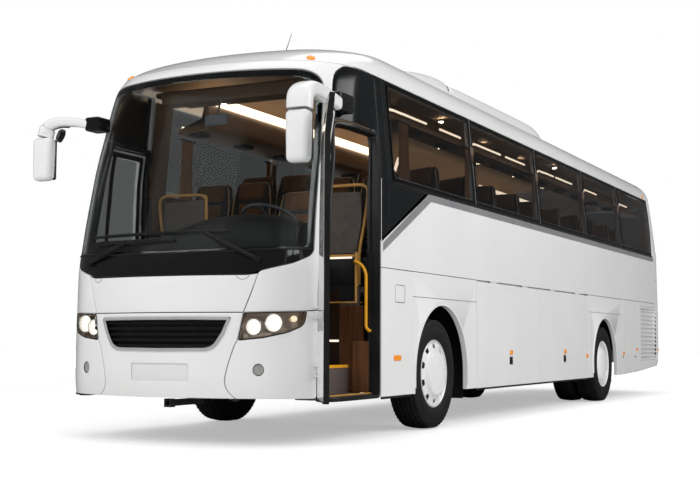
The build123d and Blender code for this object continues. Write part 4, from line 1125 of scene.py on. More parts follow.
# Darker copy of the stairwell wood. On the stairwell's inner wall it is painted shade for that
# wall in shadow; the riser blocks take the same dark tone.
WOOD_DARK = Timber("wood_riser", "rack_trim", (0.012, 0.006, 0.003), (0.030, 0.014, 0.008),
                   (0.3, 0.45), patch=2.2, relief=0.0002, coat=0.2)
WOOD_LIGHT = Timber("wood_kick_board", "rack_trim", (0.10, 0.040, 0.016), (0.20, 0.085, 0.036),
                    (0.3, 0.45), patch=2.2, relief=0.0002, coat=0.2)
SCREEN_CLOTH = Finish("modesty_cloth", "seat_fabric", (0.085, 0.070, 0.062),
                      (0.125, 0.105, 0.092), (0.7, 0.9), patch=14.0, grain=900.0,
                      relief=0.0004)
LINING_DARK = Finish("post_lining", "rack_trim", (0.10, 0.060, 0.036), (0.15, 0.095, 0.060),
                     (0.55, 0.75), patch=3.0, grain=700.0, relief=0.0002)
STEP_LIGHT = Glow("step_light", "rack_trim", (1.0, 0.88, 0.70), (1.0, 0.92, 0.80),
                  power=0.9, patch=3.0)
STRIP_LIGHT = Glow("cabin_strip_light", "rack_trim", (1.0, 0.78, 0.55), (1.0, 0.86, 0.68),
                   power=2.0, patch=3.0)
DOWNLIGHT = Glow("cabin_downlight", "rack_trim", (1.0, 0.80, 0.55), (1.0, 0.86, 0.66),
                 power=14.0, patch=9.0)
RAIL = Finish("amber_rail", "hand_rail", (0.82, 0.36, 0.015), (0.92, 0.45, 0.03), (0.25, 0.36),
              patch=8.0, grain=500.0, relief=0.0001, coat=0.3)
STEEL = Finish("chassis_steel", "frame_steel", (0.018, 0.018, 0.019), (0.045, 0.042, 0.040),
               (0.5, 0.75), patch=6.0, grain=160.0, relief=0.0005)
IRON = Finish("cast_iron", "cast_iron", (0.06, 0.058, 0.057), (0.11, 0.105, 0.10), (0.5, 0.7),
              metal=0.6, patch=8.0, grain=240.0, relief=0.0006)
MIRROR = Finish("mirror_face", "mirror_shell", (0.82, 0.84, 0.86), (0.86, 0.88, 0.90),
                (0.0, 0.02), metal=1.0, patch=3.0, grain=20.0, relief=0.000001)
SHELL = Finish("mirror_shell_white", "mirror_shell", (0.79, 0.79, 0.785), (0.83, 0.83, 0.825),
               (0.18, 0.28), patch=3.0, grain=900.0, relief=0.00003, coat=0.4)
FOG = Finish("fog_lens", "lamp_clear", (0.34, 0.34, 0.33), (0.46, 0.46, 0.45), (0.06, 0.12),
             metal=0.2, patch=60.0, grain=300.0, relief=0.0002, coat=0.3)
BLANK = Finish("blank_plate", "body_paint", (0.72, 0.72, 0.72), (0.76, 0.76, 0.76),
               (0.3, 0.45), patch=6.0, grain=300.0, relief=0.0001)


# ---------------------------------------------------------------- making objects
WELD = 1e-6
CAD_WELD = 2e-5
CAD_SHARP = 35.0
FLAT_WITHIN = math.radians(0.6)
ROLLED_FROM = math.radians(30)


def placed(mesh: bpy.types.Mesh, finish: Finish, body: str, sharp: float) -> bpy.types.Object:
    """Give a mesh its finish and link it as an object that rides on a body.

    Args:
        mesh: The mesh, whose name the object takes.
        finish: Its look.
        body: The body that it rides on.
        sharp: Edges that turn by more degrees than this stay crisp.

    Returns:
        The object.
    """
    mesh.shade_smooth()
    mesh.set_sharp_from_angle(angle=math.radians(sharp))
    mesh.materials.clear()
    mesh.materials.append(finish.material())
    made = bpy.data.objects.new(mesh.name, mesh)
    bpy.context.scene.collection.objects.link(made)
    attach(made, body)
    return made


def publish(name: str, form: Form, finish: Finish, body: str = COACH, sharp: float = 40.0,
            stands_for: Sequence[str] = ()) -> bpy.types.Object:
    """Turn a form into an object that rides on a body.

    Args:
        name: Of the object.
        form: Its points and faces, with X from the front axle.
        finish: Its look.
        body: The body that it rides on.
        sharp: Edges that turn by more degrees than this stay crisp.
        stands_for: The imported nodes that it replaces.

    Returns:
        The object.
    """
    mesh = bpy.data.meshes.new(name)
    faces = [row for block in form.faces for row in block.tolist()]
    mesh.from_pydata((form.points + (ROW_SHIFT, 0.0, 0.0)).tolist(), [], faces)
    work = bmesh.new()
    work.from_mesh(mesh)
    bmesh.ops.remove_doubles(work, verts=work.verts, dist=WELD)
    bmesh.ops.recalc_face_normals(work, faces=work.faces)
    work.to_mesh(mesh)
    work.free()
    made = placed(mesh, finish, body, sharp)
    if stands_for:
        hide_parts(*stands_for)
    log.info("%s: %d faces on %s", name, len(faces), body)
    return made


def dressed_copy(frame: dict, node: str, finish: Finish, bevel: float,
                 swell: float = 0.0) -> None:
    """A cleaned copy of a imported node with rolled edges, which stands for the node.

    Doubles are merged and flat faces joined, then a Bevel rolls every edge sharper than
    30 degrees.

    Args:
        node: The node's name.
        finish: Its look.
        bevel: Radius of the rolled edges.
        swell: How far every face moves outwards first.
    """
    bodies = frame["record"]["behaviour"]["bodies"]
    body = next(name for name, nodes in bodies.items() if node in nodes)
    mesh = frame["nodes"][node].data.copy()
    mesh.name = node + "_dressed"
    work = bmesh.new()
    work.from_mesh(mesh)
    bmesh.ops.remove_doubles(work, verts=work.verts, dist=CAD_WELD)
    bmesh.ops.dissolve_limit(work, angle_limit=FLAT_WITHIN, verts=work.verts,
                             edges=work.edges)
    work.to_mesh(mesh)
    work.free()
    made = placed(mesh, finish, body, CAD_SHARP)
    if swell:
        wider = made.modifiers.new("swell", "DISPLACE")
        wider.strength, wider.mid_level = swell, 0.0
    roll = made.modifiers.new("rolled edges", "BEVEL")
    roll.width, roll.segments, roll.limit_method = bevel, 2, "ANGLE"
    roll.angle_limit = ROLLED_FROM
    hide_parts(node)
    log.info("%s stands for its node on %s", mesh.name, body)


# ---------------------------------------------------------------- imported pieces
@dataclass
class Carried:
    """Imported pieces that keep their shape: some only take a finish, others get rolled edges.

    Attributes:
        plain: Finish of each node shown as it is.
        rolled: Finish and edge radius of each node shown as a dressed copy.
    """

    plain: dict[str, Finish] = field(default_factory=lambda: {
        "front_axle": IRON, "rear_axle": IRON,
        "left_knuckle": IRON, "right_knuckle": IRON, "wheelhouses": SEAM_BLACK,
        "side_frames": STEEL, "luggage_hold": PLASTIC, "rear_window": TINT})
    rolled: dict[str, tuple[Finish, float]] = field(default_factory=lambda: {
        "side_walls": (PAINT, 0.004), "side_skirts": (PAINT, 0.004),
        "side_louvres": (PAINT, 0.004), "bright_strips": (BRIGHT, 0.002),
        "rear_bumper": (PAINT, 0.006), "rear_corners": (PAINT, 0.006),
        "rear_upper": (PAINT, 0.006), "engine_hatch": (PAINT, 0.004),
        "tail_lamps": (RED, 0.004), "underframe": (STEEL, 0.004), "engine": (IRON, 0.02),
        "cabin_floor": (VINYL, 0.003), "entrance_steps": (VINYL, 0.004),
        "mudflaps": (SEAM_BLACK, 0.003),
        "left_front_flap": (PAINT, 0.004), "left_rear_flap": (PAINT, 0.004),
        "right_front_flap": (PAINT, 0.004), "right_rear_flap": (PAINT, 0.004),
        "steering_wheel": (PLASTIC, 0.004)})

    def dress(self, frame: dict) -> None:
        """Give every listed node its look.
        """
        for node, finish in self.plain.items():
            materials = frame["nodes"][node].data.materials
            materials.clear()
            materials.append(finish.material())
        for node, (finish, bevel) in self.rolled.items():
            dressed_copy(frame, node, finish, bevel)
        dressed_copy(frame, "wipers", FRAME_BLACK, 0.0015, swell=0.006)
        log.info("finished %d packed pieces", len(self.plain) + len(self.rolled))


# ---------------------------------------------------------------- studio
@dataclass
class Studio:
    """Camera, pale floor and soft light.

    Attributes:
        eye: Camera's place, from the front axle.
        yaw: Direction it looks, anticlockwise from X.
        pitch: How far it looks up.
        roll: How far it tips.
        lens: Focal length for a 36 mm sensor.
        ambient: Strength of the world on dull surfaces.
        mirrored: Share of it that shows in reflections.
        lights: (place, width, height, power, target) of each soft light.
        reflecting: Numbers of the lights that show in reflections.
        ground: Half the floor's width.
        fade: Distances at which the floor starts and ends its fade to white.
    """

    eye: tuple[float, float, float] = (10.678, 5.683, 0.825)
    yaw: float = 3.6063
    pitch: float = 0.0849
    roll: float = 0.0038
    lens: float = 61.84
    ambient: float = 0.74
    mirrored: float = 0.10
    lights: tuple = (
        ((8.0, 10.0, 8.5), 9.0, 6.0, 500.0, (0.0, 0.0, 1.5)),
        ((9.5, -4.0, 6.5), 7.0, 5.0, 250.0, (1.0, 0.0, 1.5)),
        ((-5.0, 11.0, 7.0), 10.0, 5.0, 420.0, (-5.0, 0.0, 1.5)),
        ((-3.0, 0.0, 9.5), 12.0, 5.0, 180.0, (-3.0, 0.0, 0.0)),
    )
    reflecting: tuple[int, ...] = (2, 3)
    ground: float = 60.0
    fade: tuple[float, float] = (11.0, 26.0)

    def build(self) -> None:
        """Make the camera, the world, the lights and the floor."""
        scene = bpy.context.scene
        scene.view_settings.view_transform = "Standard"
        cy, sy, cp, sp = (math.cos(self.yaw), math.sin(self.yaw), math.cos(self.pitch),
                          math.sin(self.pitch))
        ahead = np.array((cy * cp, sy * cp, sp))
        right = np.array((sy, -cy, 0.0))
        over = np.cross(right, ahead)
        c, s = math.cos(self.roll), math.sin(self.roll)
        right, over = c * right + s * over, c * over - s * right
        data = bpy.data.cameras.new("camera")
        data.lens, data.clip_end = self.lens, 200.0
        camera = bpy.data.objects.new("camera", data)
        scene.collection.objects.link(camera)
        matrix = np.eye(4)
        matrix[:3, :3] = np.stack([right, over, -ahead], axis=1)
        matrix[:3, 3] = np.array(self.eye) + (ROW_SHIFT, 0, 0)
        camera.matrix_world = Matrix(matrix.tolist())
        scene.camera = camera
        self.sky(scene)
        for number, (place, width, height, power, target) in enumerate(self.lights):
            made = self.light(f"soft_light_{number}", place, width, height, power, target)
            made.visible_glossy = number in self.reflecting
        self.floor()

    def sky(self, scene: bpy.types.Scene) -> None:
        """White to the camera, and a soft grey-white to everything else.

        Args:
            scene: That gets the world.
        """
        world = bpy.data.worlds.new("studio")
        world.use_nodes = True
        tree = world.node_tree
        back = next(n for n in tree.nodes if n.type == "BACKGROUND")
        path = tree.nodes.new("ShaderNodeLightPath")
        seen = arithmetic(tree, "MAXIMUM", path.outputs["Is Camera Ray"],
                          path.outputs["Is Transmission Ray"])
        level = remapped(tree, seen, self.ambient, 1.0)
        mirrored = remapped(tree, path.outputs["Is Glossy Ray"], 1.0, self.mirrored)
        tree.links.new(arithmetic(tree, "MULTIPLY", level, mirrored), back.inputs["Strength"])
        back.inputs["Color"].default_value = (1.0, 1.0, 1.0, 1.0)
        scene.world = world

    def light(self, name: str, place: Sequence[float], width: float, height: float,
              power: float, target: Sequence[float]) -> bpy.types.Object:
        """One rectangular light that faces a point.

        Args:
            name: Of the light.
            place: Its middle, from the front axle.
            width: Of the rectangle.
            height: Of the rectangle.
            power: In watts.
            target: What it faces.

        Returns:
            The light's object.
        """
        data = bpy.data.lights.new(name, "AREA")
        data.shape, data.size, data.size_y, data.energy = "RECTANGLE", width, height, power
        made = bpy.data.objects.new(name, data)
        bpy.context.scene.collection.objects.link(made)
        start = Matrix.Translation((place[0] + ROW_SHIFT, place[1], place[2])).translation
        end = Matrix.Translation((target[0] + ROW_SHIFT, target[1], target[2])).translation
        made.matrix_world = Matrix.Translation(start) @ (end - start).to_track_quat(
            "-Z", "Y").to_matrix().to_4x4()
        return made

    def floor(self) -> None:
        """A pale ground that fades to white in front of the camera."""
        mesh = bpy.data.meshes.new("ground")
        end = self.ground
        mesh.from_pydata([(-end, -end, 0), (end, -end, 0), (end, end, 0), (-end, end, 0)], [],
                         [(0, 1, 2, 3)])
        material = bpy.data.materials.new("ground")
        material.use_nodes = True
        tree = material.node_tree
        shader = next(n for n in tree.nodes if n.type == "BSDF_PRINCIPLED")
        shader.inputs["Roughness"].default_value = 0.7
        shader.inputs["Emission Color"].default_value = (1.0, 1.0, 1.0, 1.0)
        path = tree.nodes.new("ShaderNodeLightPath")
        place = tree.nodes.new("ShaderNodeTexCoord").outputs["Object"]
        far = tree.nodes.new("ShaderNodeVectorMath")
        far.operation = "LENGTH"
        tree.links.new(place, far.inputs[0])
        lift = remapped(tree, far.outputs["Value"], 0.42, 1.3, *self.fade)
        seen = arithmetic(tree, "MAXIMUM", path.outputs["Is Camera Ray"],
                          path.outputs["Is Transmission Ray"])
        tree.links.new(arithmetic(tree, "MULTIPLY", lift, seen),
                       shader.inputs["Emission Strength"])
        tint = tree.nodes.new("ShaderNodeMix")
        tint.data_type = "RGBA"
        tint.inputs[6].default_value = (0.80, 0.80, 0.80, 1.0)
        tint.inputs[7].default_value = (0.10, 0.10, 0.10, 1.0)
        tree.links.new(path.outputs["Is Glossy Ray"], tint.inputs[0])
        tree.links.new(tint.outputs[2], shader.inputs["Base Color"])
        mesh.materials.append(material)
        ground = bpy.data.objects.new("ground", mesh)
        bpy.context.scene.collection.objects.link(ground)


# ---------------------------------------------------------------- nose
NOSE = EndSkin(
    rows=((0.375, 0.022, 1.275), (0.57, 0.0, 1.275), (1.05, 0.008, 1.275), (1.36, 0.015, 1.275),
          (1.70, 0.070, 1.275), (2.24, 0.200, 1.275), (2.65, 0.305, 1.237),
          (3.05, 0.430, 1.2006), (3.165, 0.530, 1.190)),
    centre_x=0.35, radius=2.4, corner=0.68, join_x=JOIN_FRONT)
Spot = tuple[float, float, float]
RIBBON_SIDES = 8


def by_y(y: float, z: float, radius: float = 0.0) -> Spot:
    """A corner of a nose outline, given by its distance from the middle."""
    return float(NOSE.u_at_y(y, z)), z, radius


def by_x(x: float, z: float, radius: float = 0.0) -> Spot:
    """A corner of a nose outline, given by its distance along the coach."""
    return float(NOSE.u_at_x(x, z)), z, radius


def doubled(half: Sequence[Spot]) -> list[Spot]:
    """An outline from its left half, which runs from the middle to the middle."""
    return list(half) + [(-u, z, radius) for u, z, radius in half[::-1] if abs(u) > 1e-9]


def ribbon(skin: Skin, loop: Array, width: float, proud: float, rise: float = 0.0,
           closed: bool = True) -> Form:
    """A thin bar that follows a line drawn on a skin.

    Args:
        skin: The curved surface.
        loop: The line, as (u, z).
        width: Across the line.
        proud: Half the bar's height.
        rise: How far its middle lies above the skin.
        closed: Whether the line joins itself.

    Returns:
        The closed form.
    """
    u, z = loop.T
    path = skin.sunk(u, z, -rise)
    up = skin.normal(u, z)
    ahead = np.roll(path, -1, axis=0) - np.roll(path, 1, axis=0) if closed \
        else np.gradient(path, axis=0)
    across = np.cross(unit(ahead), up)
    a = np.linspace(0, 2 * math.pi, RIBBON_SIDES, endpoint=False)
    rings = path[:, None, :] + proud * np.cos(a)[None, :, None] * up[:, None, :] \
        + 0.5 * width * np.sin(a)[None, :, None] * across[:, None, :]
    if closed:
        return Form(rings.reshape(-1, 3), [net(len(path), RIBBON_SIDES, True, True)])
    return lofted(rings)


def tidied(loop: Array) -> Array:
    """An outline without the points that lie on their neighbour."""
    return loop[np.linalg.norm(loop - np.roll(loop, 1, axis=0), axis=1) > 1e-4]


@dataclass
class Nose:
    """Bumper, front panel, windscreen with its surround, doorway frames and grille.

    Attributes:
        seam: Half the gap between neighbouring panels.
        thick: Of the panels.
        split: Lower and upper edge of the seam over the lamps.
        fog: (y, z) of the fog lamp.
        bowls: (y, z, radius) of each round headlamp.
        slats: Heights of the grille's slats.
        screen_half: Left half of the windscreen's outline, from the middle to the middle.
        lamp: Outline of the left headlamp.
    """

    seam: float = 0.003
    thick: float = 0.030
    split: tuple[float, float] = (1.045, 1.052)
    fog: tuple[float, float] = (0.839, 0.600)
    bowls: tuple[Spot, ...] = ((0.800, 0.936, 0.062), (0.955, 0.968, 0.070))
    slats: tuple[float, ...] = (0.784, 0.830, 0.876, 0.922, 0.968)
    screen_half: tuple[Spot, ...] = (
        (0.0, 1.346, 0.0), (0.74, 1.348, 0.05), (0.87, 1.386, 0.05), (1.06, 1.440, 0.05),
        (1.165, 1.515, 0.06), (1.152, 1.90, 0.0), (1.140, 2.24, 0.0), (1.110, 2.65, 0.0),
        (1.094, 2.86, 0.05), (1.072, 3.000, 0.09), (0.965, 3.076, 0.12), (0.5, 3.080, 0.0),
        (0.0, 3.080, 0.0))
    lamp: tuple[Spot, ...] = (
        (0.722, 1.042, 0.01), (0.684, 0.832, 0.02), (0.87, 0.852, 0.0), (1.03, 0.893, 0.02),
        (1.125, 0.950, 0.05), (1.137, 1.055, 0.015))

    def screen(self, by: float) -> Array:
        """The windscreen's outline, moved outwards by a distance."""
        half = [by_y(*spot) for spot in self.screen_half]
        return grown(filleted(doubled(half)), by)

    def doorway(self, by: float) -> Array:
        """The left doorway's outline, moved outwards by a distance.

        Args:
            by: Distance outwards.

        Returns:
            The outline.
        """
        spots = [by_x(1.315, 0.375, 0.03), by_x(2.240, 0.375, 0.05), by_x(2.240, 0.8),
                 by_x(2.240, 1.25, 0.12), by_x(2.151, 1.70), by_x(2.045, 2.24),
                 by_x(1.972, 2.615, 0.05), by_x(1.315, 2.615, 0.03), by_x(1.315, 1.5)]
        return grown(filleted(spots), by)

    def over_door(self) -> Array:
        """The dark panel over the left doorway.

        Returns:
            The outline.
        """
        return filleted([by_x(1.289, 2.659), by_x(1.990, 2.659, 0.02), by_x(1.940, 2.863, 0.05),
                         by_x(1.893, 3.017, 0.07), by_x(1.825, 3.099, 0.07),
                         by_x(1.730, 3.148, 0.04), by_x(1.289, 3.158)])

    def build(self) -> None:
        """Make every piece of the nose."""
        for step in (self.bumper, self.surround, self.glass, self.doorways, self.grille,
                     self.headlamps, self.fog_lamps):
            step()

    def bumper(self) -> None:
        """Bumper in three parts, with openings for grille, plate and lamps."""
        low, high = self.split
        half = [(0.0, low, 0.0), by_y(0.714, low, 0.004), by_y(0.672, 0.83), by_y(0.650, 0.79),
                by_y(0.600, 0.64, 0.08), by_y(0.569, 0.50, 0.08), by_y(0.592, 0.43, 0.04),
                by_y(0.650, 0.375, 0.01), (0.0, 0.375, 0.0)]
        middle = filleted(doubled(half))
        plate = filleted([by_y(y, z, 0.012) for y, z in
                          ((-0.275, 0.505), (0.275, 0.505), (0.275, 0.643), (-0.275, 0.643))])
        centre = panel(NOSE, middle, self.thick, [self.grille_outline(), plate], 0.04, 0.005)
        lamp = grown(filleted([by_y(*spot) for spot in self.lamp]), self.seam)
        outer = filleted([
            by_y(0.659, 0.375, 0.01), by_y(0.600, 0.43, 0.04), by_y(0.577, 0.50, 0.08),
            by_y(0.608, 0.64, 0.08), by_y(0.657, 0.79), by_y(0.679, 0.829), by_y(0.720, low),
            by_y(0.95, low + 0.006), by_y(1.137, low + 0.014), by_x(2.281, low + 0.022, 0.006),
            by_x(2.281, 0.7), by_x(2.281, 0.375, 0.03)])
        fog = self.fog_outline(0.048)
        corner = panel(NOSE, outer, self.thick, [lamp, fog], 0.04, 0.005)
        publish("bumper_panels", joined([centre, both(corner)]), PAINT,
                stands_for=("front_bumper", "front_panel", "windscreen_frame"))
        publish("plate_blank", tray(NOSE, plate, 0.004, 0.009, step=0.04), BLANK)
        top = filleted(doubled([
            (0.0, high, 0.0), by_y(0.714, high, 0.004), by_y(0.770, 1.20), by_y(0.822, 1.352),
            by_y(0.740, 1.341, 0.01), (0.0, 1.340, 0.0)]))
        publish("front_centre_panel", panel(NOSE, top, self.thick, step=0.05, roll=0.004), PAINT)
        mark = np.array([by_y(y, z)[:2] for y, z in (
            (0.655, 1.338), (0.672, 1.318), (0.701, 1.305), (0.735, 1.312), (0.762, 1.338))])
        publish("pivot_seams", both(ribbon(NOSE, mark, 0.004, 0.0012, closed=False)),
                SEAM_BLACK)

    def surround(self) -> None:
        """White corners, pillars and header round the windscreen, in one piece.

        The piece is an arch: its outline runs round the outside, and back along the screen's
        edge from one foot to the other.
        """
        high = self.split[1]
        foot = by_y(0.828, 1.362)
        half = [foot, by_y(0.778, 1.20), by_y(0.722, high, 0.004), by_y(0.95, high + 0.006),
                by_y(1.137, high + 0.014), by_x(2.281, high + 0.022, 0.006),
                by_x(2.281, 1.25, 0.10), by_x(2.192, 1.70), by_x(2.086, 2.24),
                by_x(2.009, 2.652), by_x(1.996, 2.70), by_x(1.947, 2.866),
                by_x(1.900, 3.022, 0.05), by_x(1.831, 3.105, 0.05), by_x(1.733, 3.155, 0.02),
                by_x(1.62, 3.161), by_y(0.6, 3.161), (0.0, 3.161, 0.0)]
        outer = turned_left(filleted(doubled(half)))
        at = int(np.argmin(np.linalg.norm(outer - np.array(foot[:2]), axis=1)))
        rim = self.screen(self.seam)
        rim = rim[rim[:, 1] >= 1.372]
        start = int(np.argmax(np.linalg.norm(np.roll(rim, 1, axis=0) - rim, axis=1)))
        rim = np.roll(rim, -start, axis=0)
        if rim[0, 0] > 0:
            rim = rim[::-1]
        loop = np.vstack([np.roll(outer, -at, axis=0), rim])
        publish("windscreen_surround", panel(NOSE, loop, self.thick, step=0.045, roll=0.005),
                PAINT)

    def glass(self) -> None:
        """Windscreen, its printed black edge and the gloss panel that carries the wipers."""
        line = np.array([by_y(y, z)[:2] for y, z in ((0.0, 1.522), (0.35, 1.524),
                                                     (0.77, 1.540), (1.16, 1.556))])
        u, z = self.screen(-self.seam).T
        lip = np.interp(np.abs(u), *line.T)
        upper = tidied(np.stack([u, np.maximum(z, lip + 0.004)], axis=1))
        lower = tidied(np.stack([u, np.minimum(z, lip - 0.002)], axis=1))
        publish("windscreen_glass", panel(NOSE, upper, 0.006, step=0.07, roll=0.002,
                                          sunk=0.001), SCREEN, stands_for=("windscreen",))
        publish("wiper_panel", panel(NOSE, lower, 0.012, step=0.06, roll=0.004), GLOSS_BLACK)
        u = np.linspace(-1, 1, 60) * line[-1, 0]
        rail = np.stack([u, np.interp(np.abs(u), *line.T)], axis=1)
        publish("wiper_panel_lip", ribbon(NOSE, rail, 0.018, 0.007, 0.001, closed=False),
                FRAME_BLACK)
        clear = [by_y(y, z, r) for y, z, r in (
            (1.128, 1.575, 0.03), (1.112, 1.90, 0.0), (1.100, 2.24, 0.0), (1.070, 2.65, 0.0),
            (1.054, 2.86, 0.05), (1.020, 2.965, 0.09), (0.92, 3.006, 0.10), (0.5, 3.012, 0.0),
            (0.0, 3.012, 0.0))]
        bottom = [(0.0, 1.545, 0.0), by_y(0.77, 1.560)]
        edge = panel(NOSE, tidied(grown(upper, -0.004)), 0.002,
                     [filleted(doubled(bottom + clear))], 0.05, 0.0006, 0.0085)
        publish("windscreen_frit", edge, GLOSS_BLACK)
        over = panel(NOSE, self.over_door(), 0.008, step=0.06, roll=0.002)
        publish("over_door_panels", both(over), DARK_PANE)

    def doorways(self) -> None:
        """Deep black frames of both doorways, with a thick post behind each."""
        ring = panel(NOSE, self.doorway(0.033), 0.085, [self.doorway(0.0)], 0.06, 0.006)
        post = rounded_block((1.285, 1.150, 0.372), (1.313, 1.250, 2.20), 0.006)
        channel = rounded_block((1.296, 1.176, 0.40), (1.338, 1.196, 2.58), 0.006)
        sill = rounded_block((1.30, 1.19, 0.352), (2.26, 1.222, 0.372), 0.006)
        publish("doorway_frames", both(joined([ring, post, channel, sill])), FRAME_BLACK,
                stands_for=("door_frames",))

    def grille_outline(self) -> Array:
        """Edge of the opening behind the grille.

        Returns:
            The outline.
        """
        return filleted(doubled([(0.0, 1.018, 0.0), by_y(0.3, 1.018), by_y(0.628, 1.014, 0.03),
                                 by_y(0.572, 0.880), by_y(0.486, 0.742, 0.11),
                                 (0.0, 0.738, 0.0)]))

    def grille(self) -> None:
        """Bright frame, dark level slats and the back of the opening."""
        hole = self.grille_outline()
        publish("grille_frame", ribbon(NOSE, evenly(grown(hole, -0.013), 0.03), 0.030, 0.009,
                                       0.002), CHROME, stands_for=("front_grille",))
        publish("grille_back", tray(NOSE, grown(hole, -0.001), 0.012, 0.055, 0.003, 0.05),
                SEAM_BLACK)
        slats = []
        for z in self.slats:
            reach = float(np.interp(z, (0.742, 0.865, 1.014), (0.470, 0.545, 0.610)))
            u = NOSE.u_at_y(np.linspace(-reach, reach, 40), z)
            corners = [NOSE.sunk(u, np.full_like(u, z + rise), depth) for rise, depth in
                       ((0.012, 0.022), (0.012, 0.034), (-0.004, 0.018), (-0.010, 0.012))]
            slats.append(lofted(np.stack(corners, axis=1)))
        publish("grille_slats", joined(slats), SLAT, sharp=25.0)

    def fog_outline(self, radius: float) -> Array:
        """Circle of the left fog lamp on the skin.

        Args:
            radius: Of the circle.

        Returns:
            The outline.
        """
        a = np.linspace(0, 2 * math.pi, 28, endpoint=False)
        z = self.fog[1] + radius * np.sin(a)
        return np.stack([NOSE.u_at_y(self.fog[0] + 0.86 * radius * np.cos(a), z), z], axis=1)

    def headlamps(self) -> None:
        """Twin round lamps and a side light behind clear glass."""
        outline = filleted([by_y(*spot) for spot in self.lamp])
        cover = panel(NOSE, grown(outline, -0.001), 0.003, step=0.05, roll=0.001, sunk=0.002)
        publish("headlamp_covers", both(cover), LENS, sharp=60.0, stands_for=("front_lamps",))
        # The trays take the warm brown-gold finish, partly painted glow of the lit lamps.
        back = tray(NOSE, grown(outline, -0.004), 0.008, 0.075, 0.003, 0.04)
        publish("headlamp_trays", both(back), BOWL)
        publish("headlamp_outlines", both(ribbon(NOSE, evenly(grown(outline, 0.001), 0.02), 0.009,
                                                 0.0015)), SEAM_BLACK)
        rings, lit = [], []
        axis = (0.985, 0.12, 0.0)
        for y, z, radius in self.bowls:
            middle = NOSE.sunk(NOSE.u_at_y(y, z), np.asarray(z), 0.064)
            bowl = [(0.0, -0.006), (radius * 0.7, -0.006), (radius + 0.006, 0.030),
                    (radius + 0.006, 0.036), (radius - 0.001, 0.036), (radius * 0.93, 0.020),
                    (radius * 0.7, 0.006), (radius * 0.3, 0.0), (0.0, 0.0)]
            rings.append(lathe(bowl, middle, axis, 40))
            lit.append(lathe([(0.0, 0.001), (radius * 0.62, 0.007), (radius * 0.86, 0.018),
                              (radius * 0.60, 0.030), (radius * 0.25, 0.036), (0.0, 0.037)],
                             middle, axis, 32))
        publish("headlamp_bowls", both(joined(rings)), CHROME)
        publish("headlamp_beams", both(joined(lit)), BEAM)
        middle = NOSE.sunk(NOSE.u_at_y(1.075, 1.0), np.asarray(1.0), 0.045)
        lamp = lathe([(0.0, 0.0), (0.020, 0.004), (0.026, 0.014), (0.020, 0.022), (0.0, 0.026)],
                     middle, (0.8, 0.6, 0.0), 24)
        publish("headlamp_side_lights", both(lamp), SIDE_BEAM)

    def fog_lamps(self) -> None:
        """Round fog lamps in black rings."""
        u, z = NOSE.u_at_y(*self.fog), np.asarray(self.fog[1])
        middle, axis = NOSE.sunk(u, z, 0.012), NOSE.normal(u, z)
        ring = lathe([(0.030, 0.0), (0.046, 0.0), (0.046, 0.007), (0.0445, 0.010),
                      (0.0425, 0.009), (0.0415, 0.003), (0.030, 0.0)], middle, axis, 40)
        face = disc(0.042, 0.006, middle, axis, 0.002, 36, 0.003)
        publish("fog_lamp_rings", both(ring), FRAME_BLACK)
        publish("fog_lamps", both(face), FOG)



# ---------------------------------------------------------------- roof
def shell(grid: Array, thickness: float, last_row: bool = True) -> Form:
    """A sheet of points thickened inwards, with walls along its free edges.

    The inner point is p - thickness n, with n the cross product of the grid's two directions,
    turned to look away from the coach's middle.

    Args:
        grid: Array of shape (rows, columns, 3).
        thickness: Of the sheet.
        last_row: Whether the last row is a free edge.

    Returns:
        The closed form.
    """
    n = np.cross(np.gradient(grid, axis=0), np.gradient(grid, axis=1))
    length = np.linalg.norm(n, axis=-1, keepdims=True)
    n = np.where(length > 1e-9, n / np.maximum(length, 1e-9), (0.0, 0.0, 1.0))
    away = grid - np.array((0.0, 0.0, 1.6))
    away[..., 0] = 0.0
    facing = np.sign(np.sum(n * away, axis=(0, 1, 2)))
    rows, columns = grid.shape[:2]
    inner = grid - thickness * facing * n
    points = np.vstack([grid.reshape(-1, 3), inner.reshape(-1, 3)])
    index = np.arange(rows * columns).reshape(rows, columns)
    edges = [index[0], index[:, 0], index[:, -1]] + ([index[-1]] if last_row else [])
    size = rows * columns
    walls = [np.stack([e[:-1], e[1:], e[1:] + size, e[:-1] + size], axis=1) for e in edges]
    faces = net(rows, columns)
    return Form(points, [faces, faces[:, ::-1] + size] + walls)


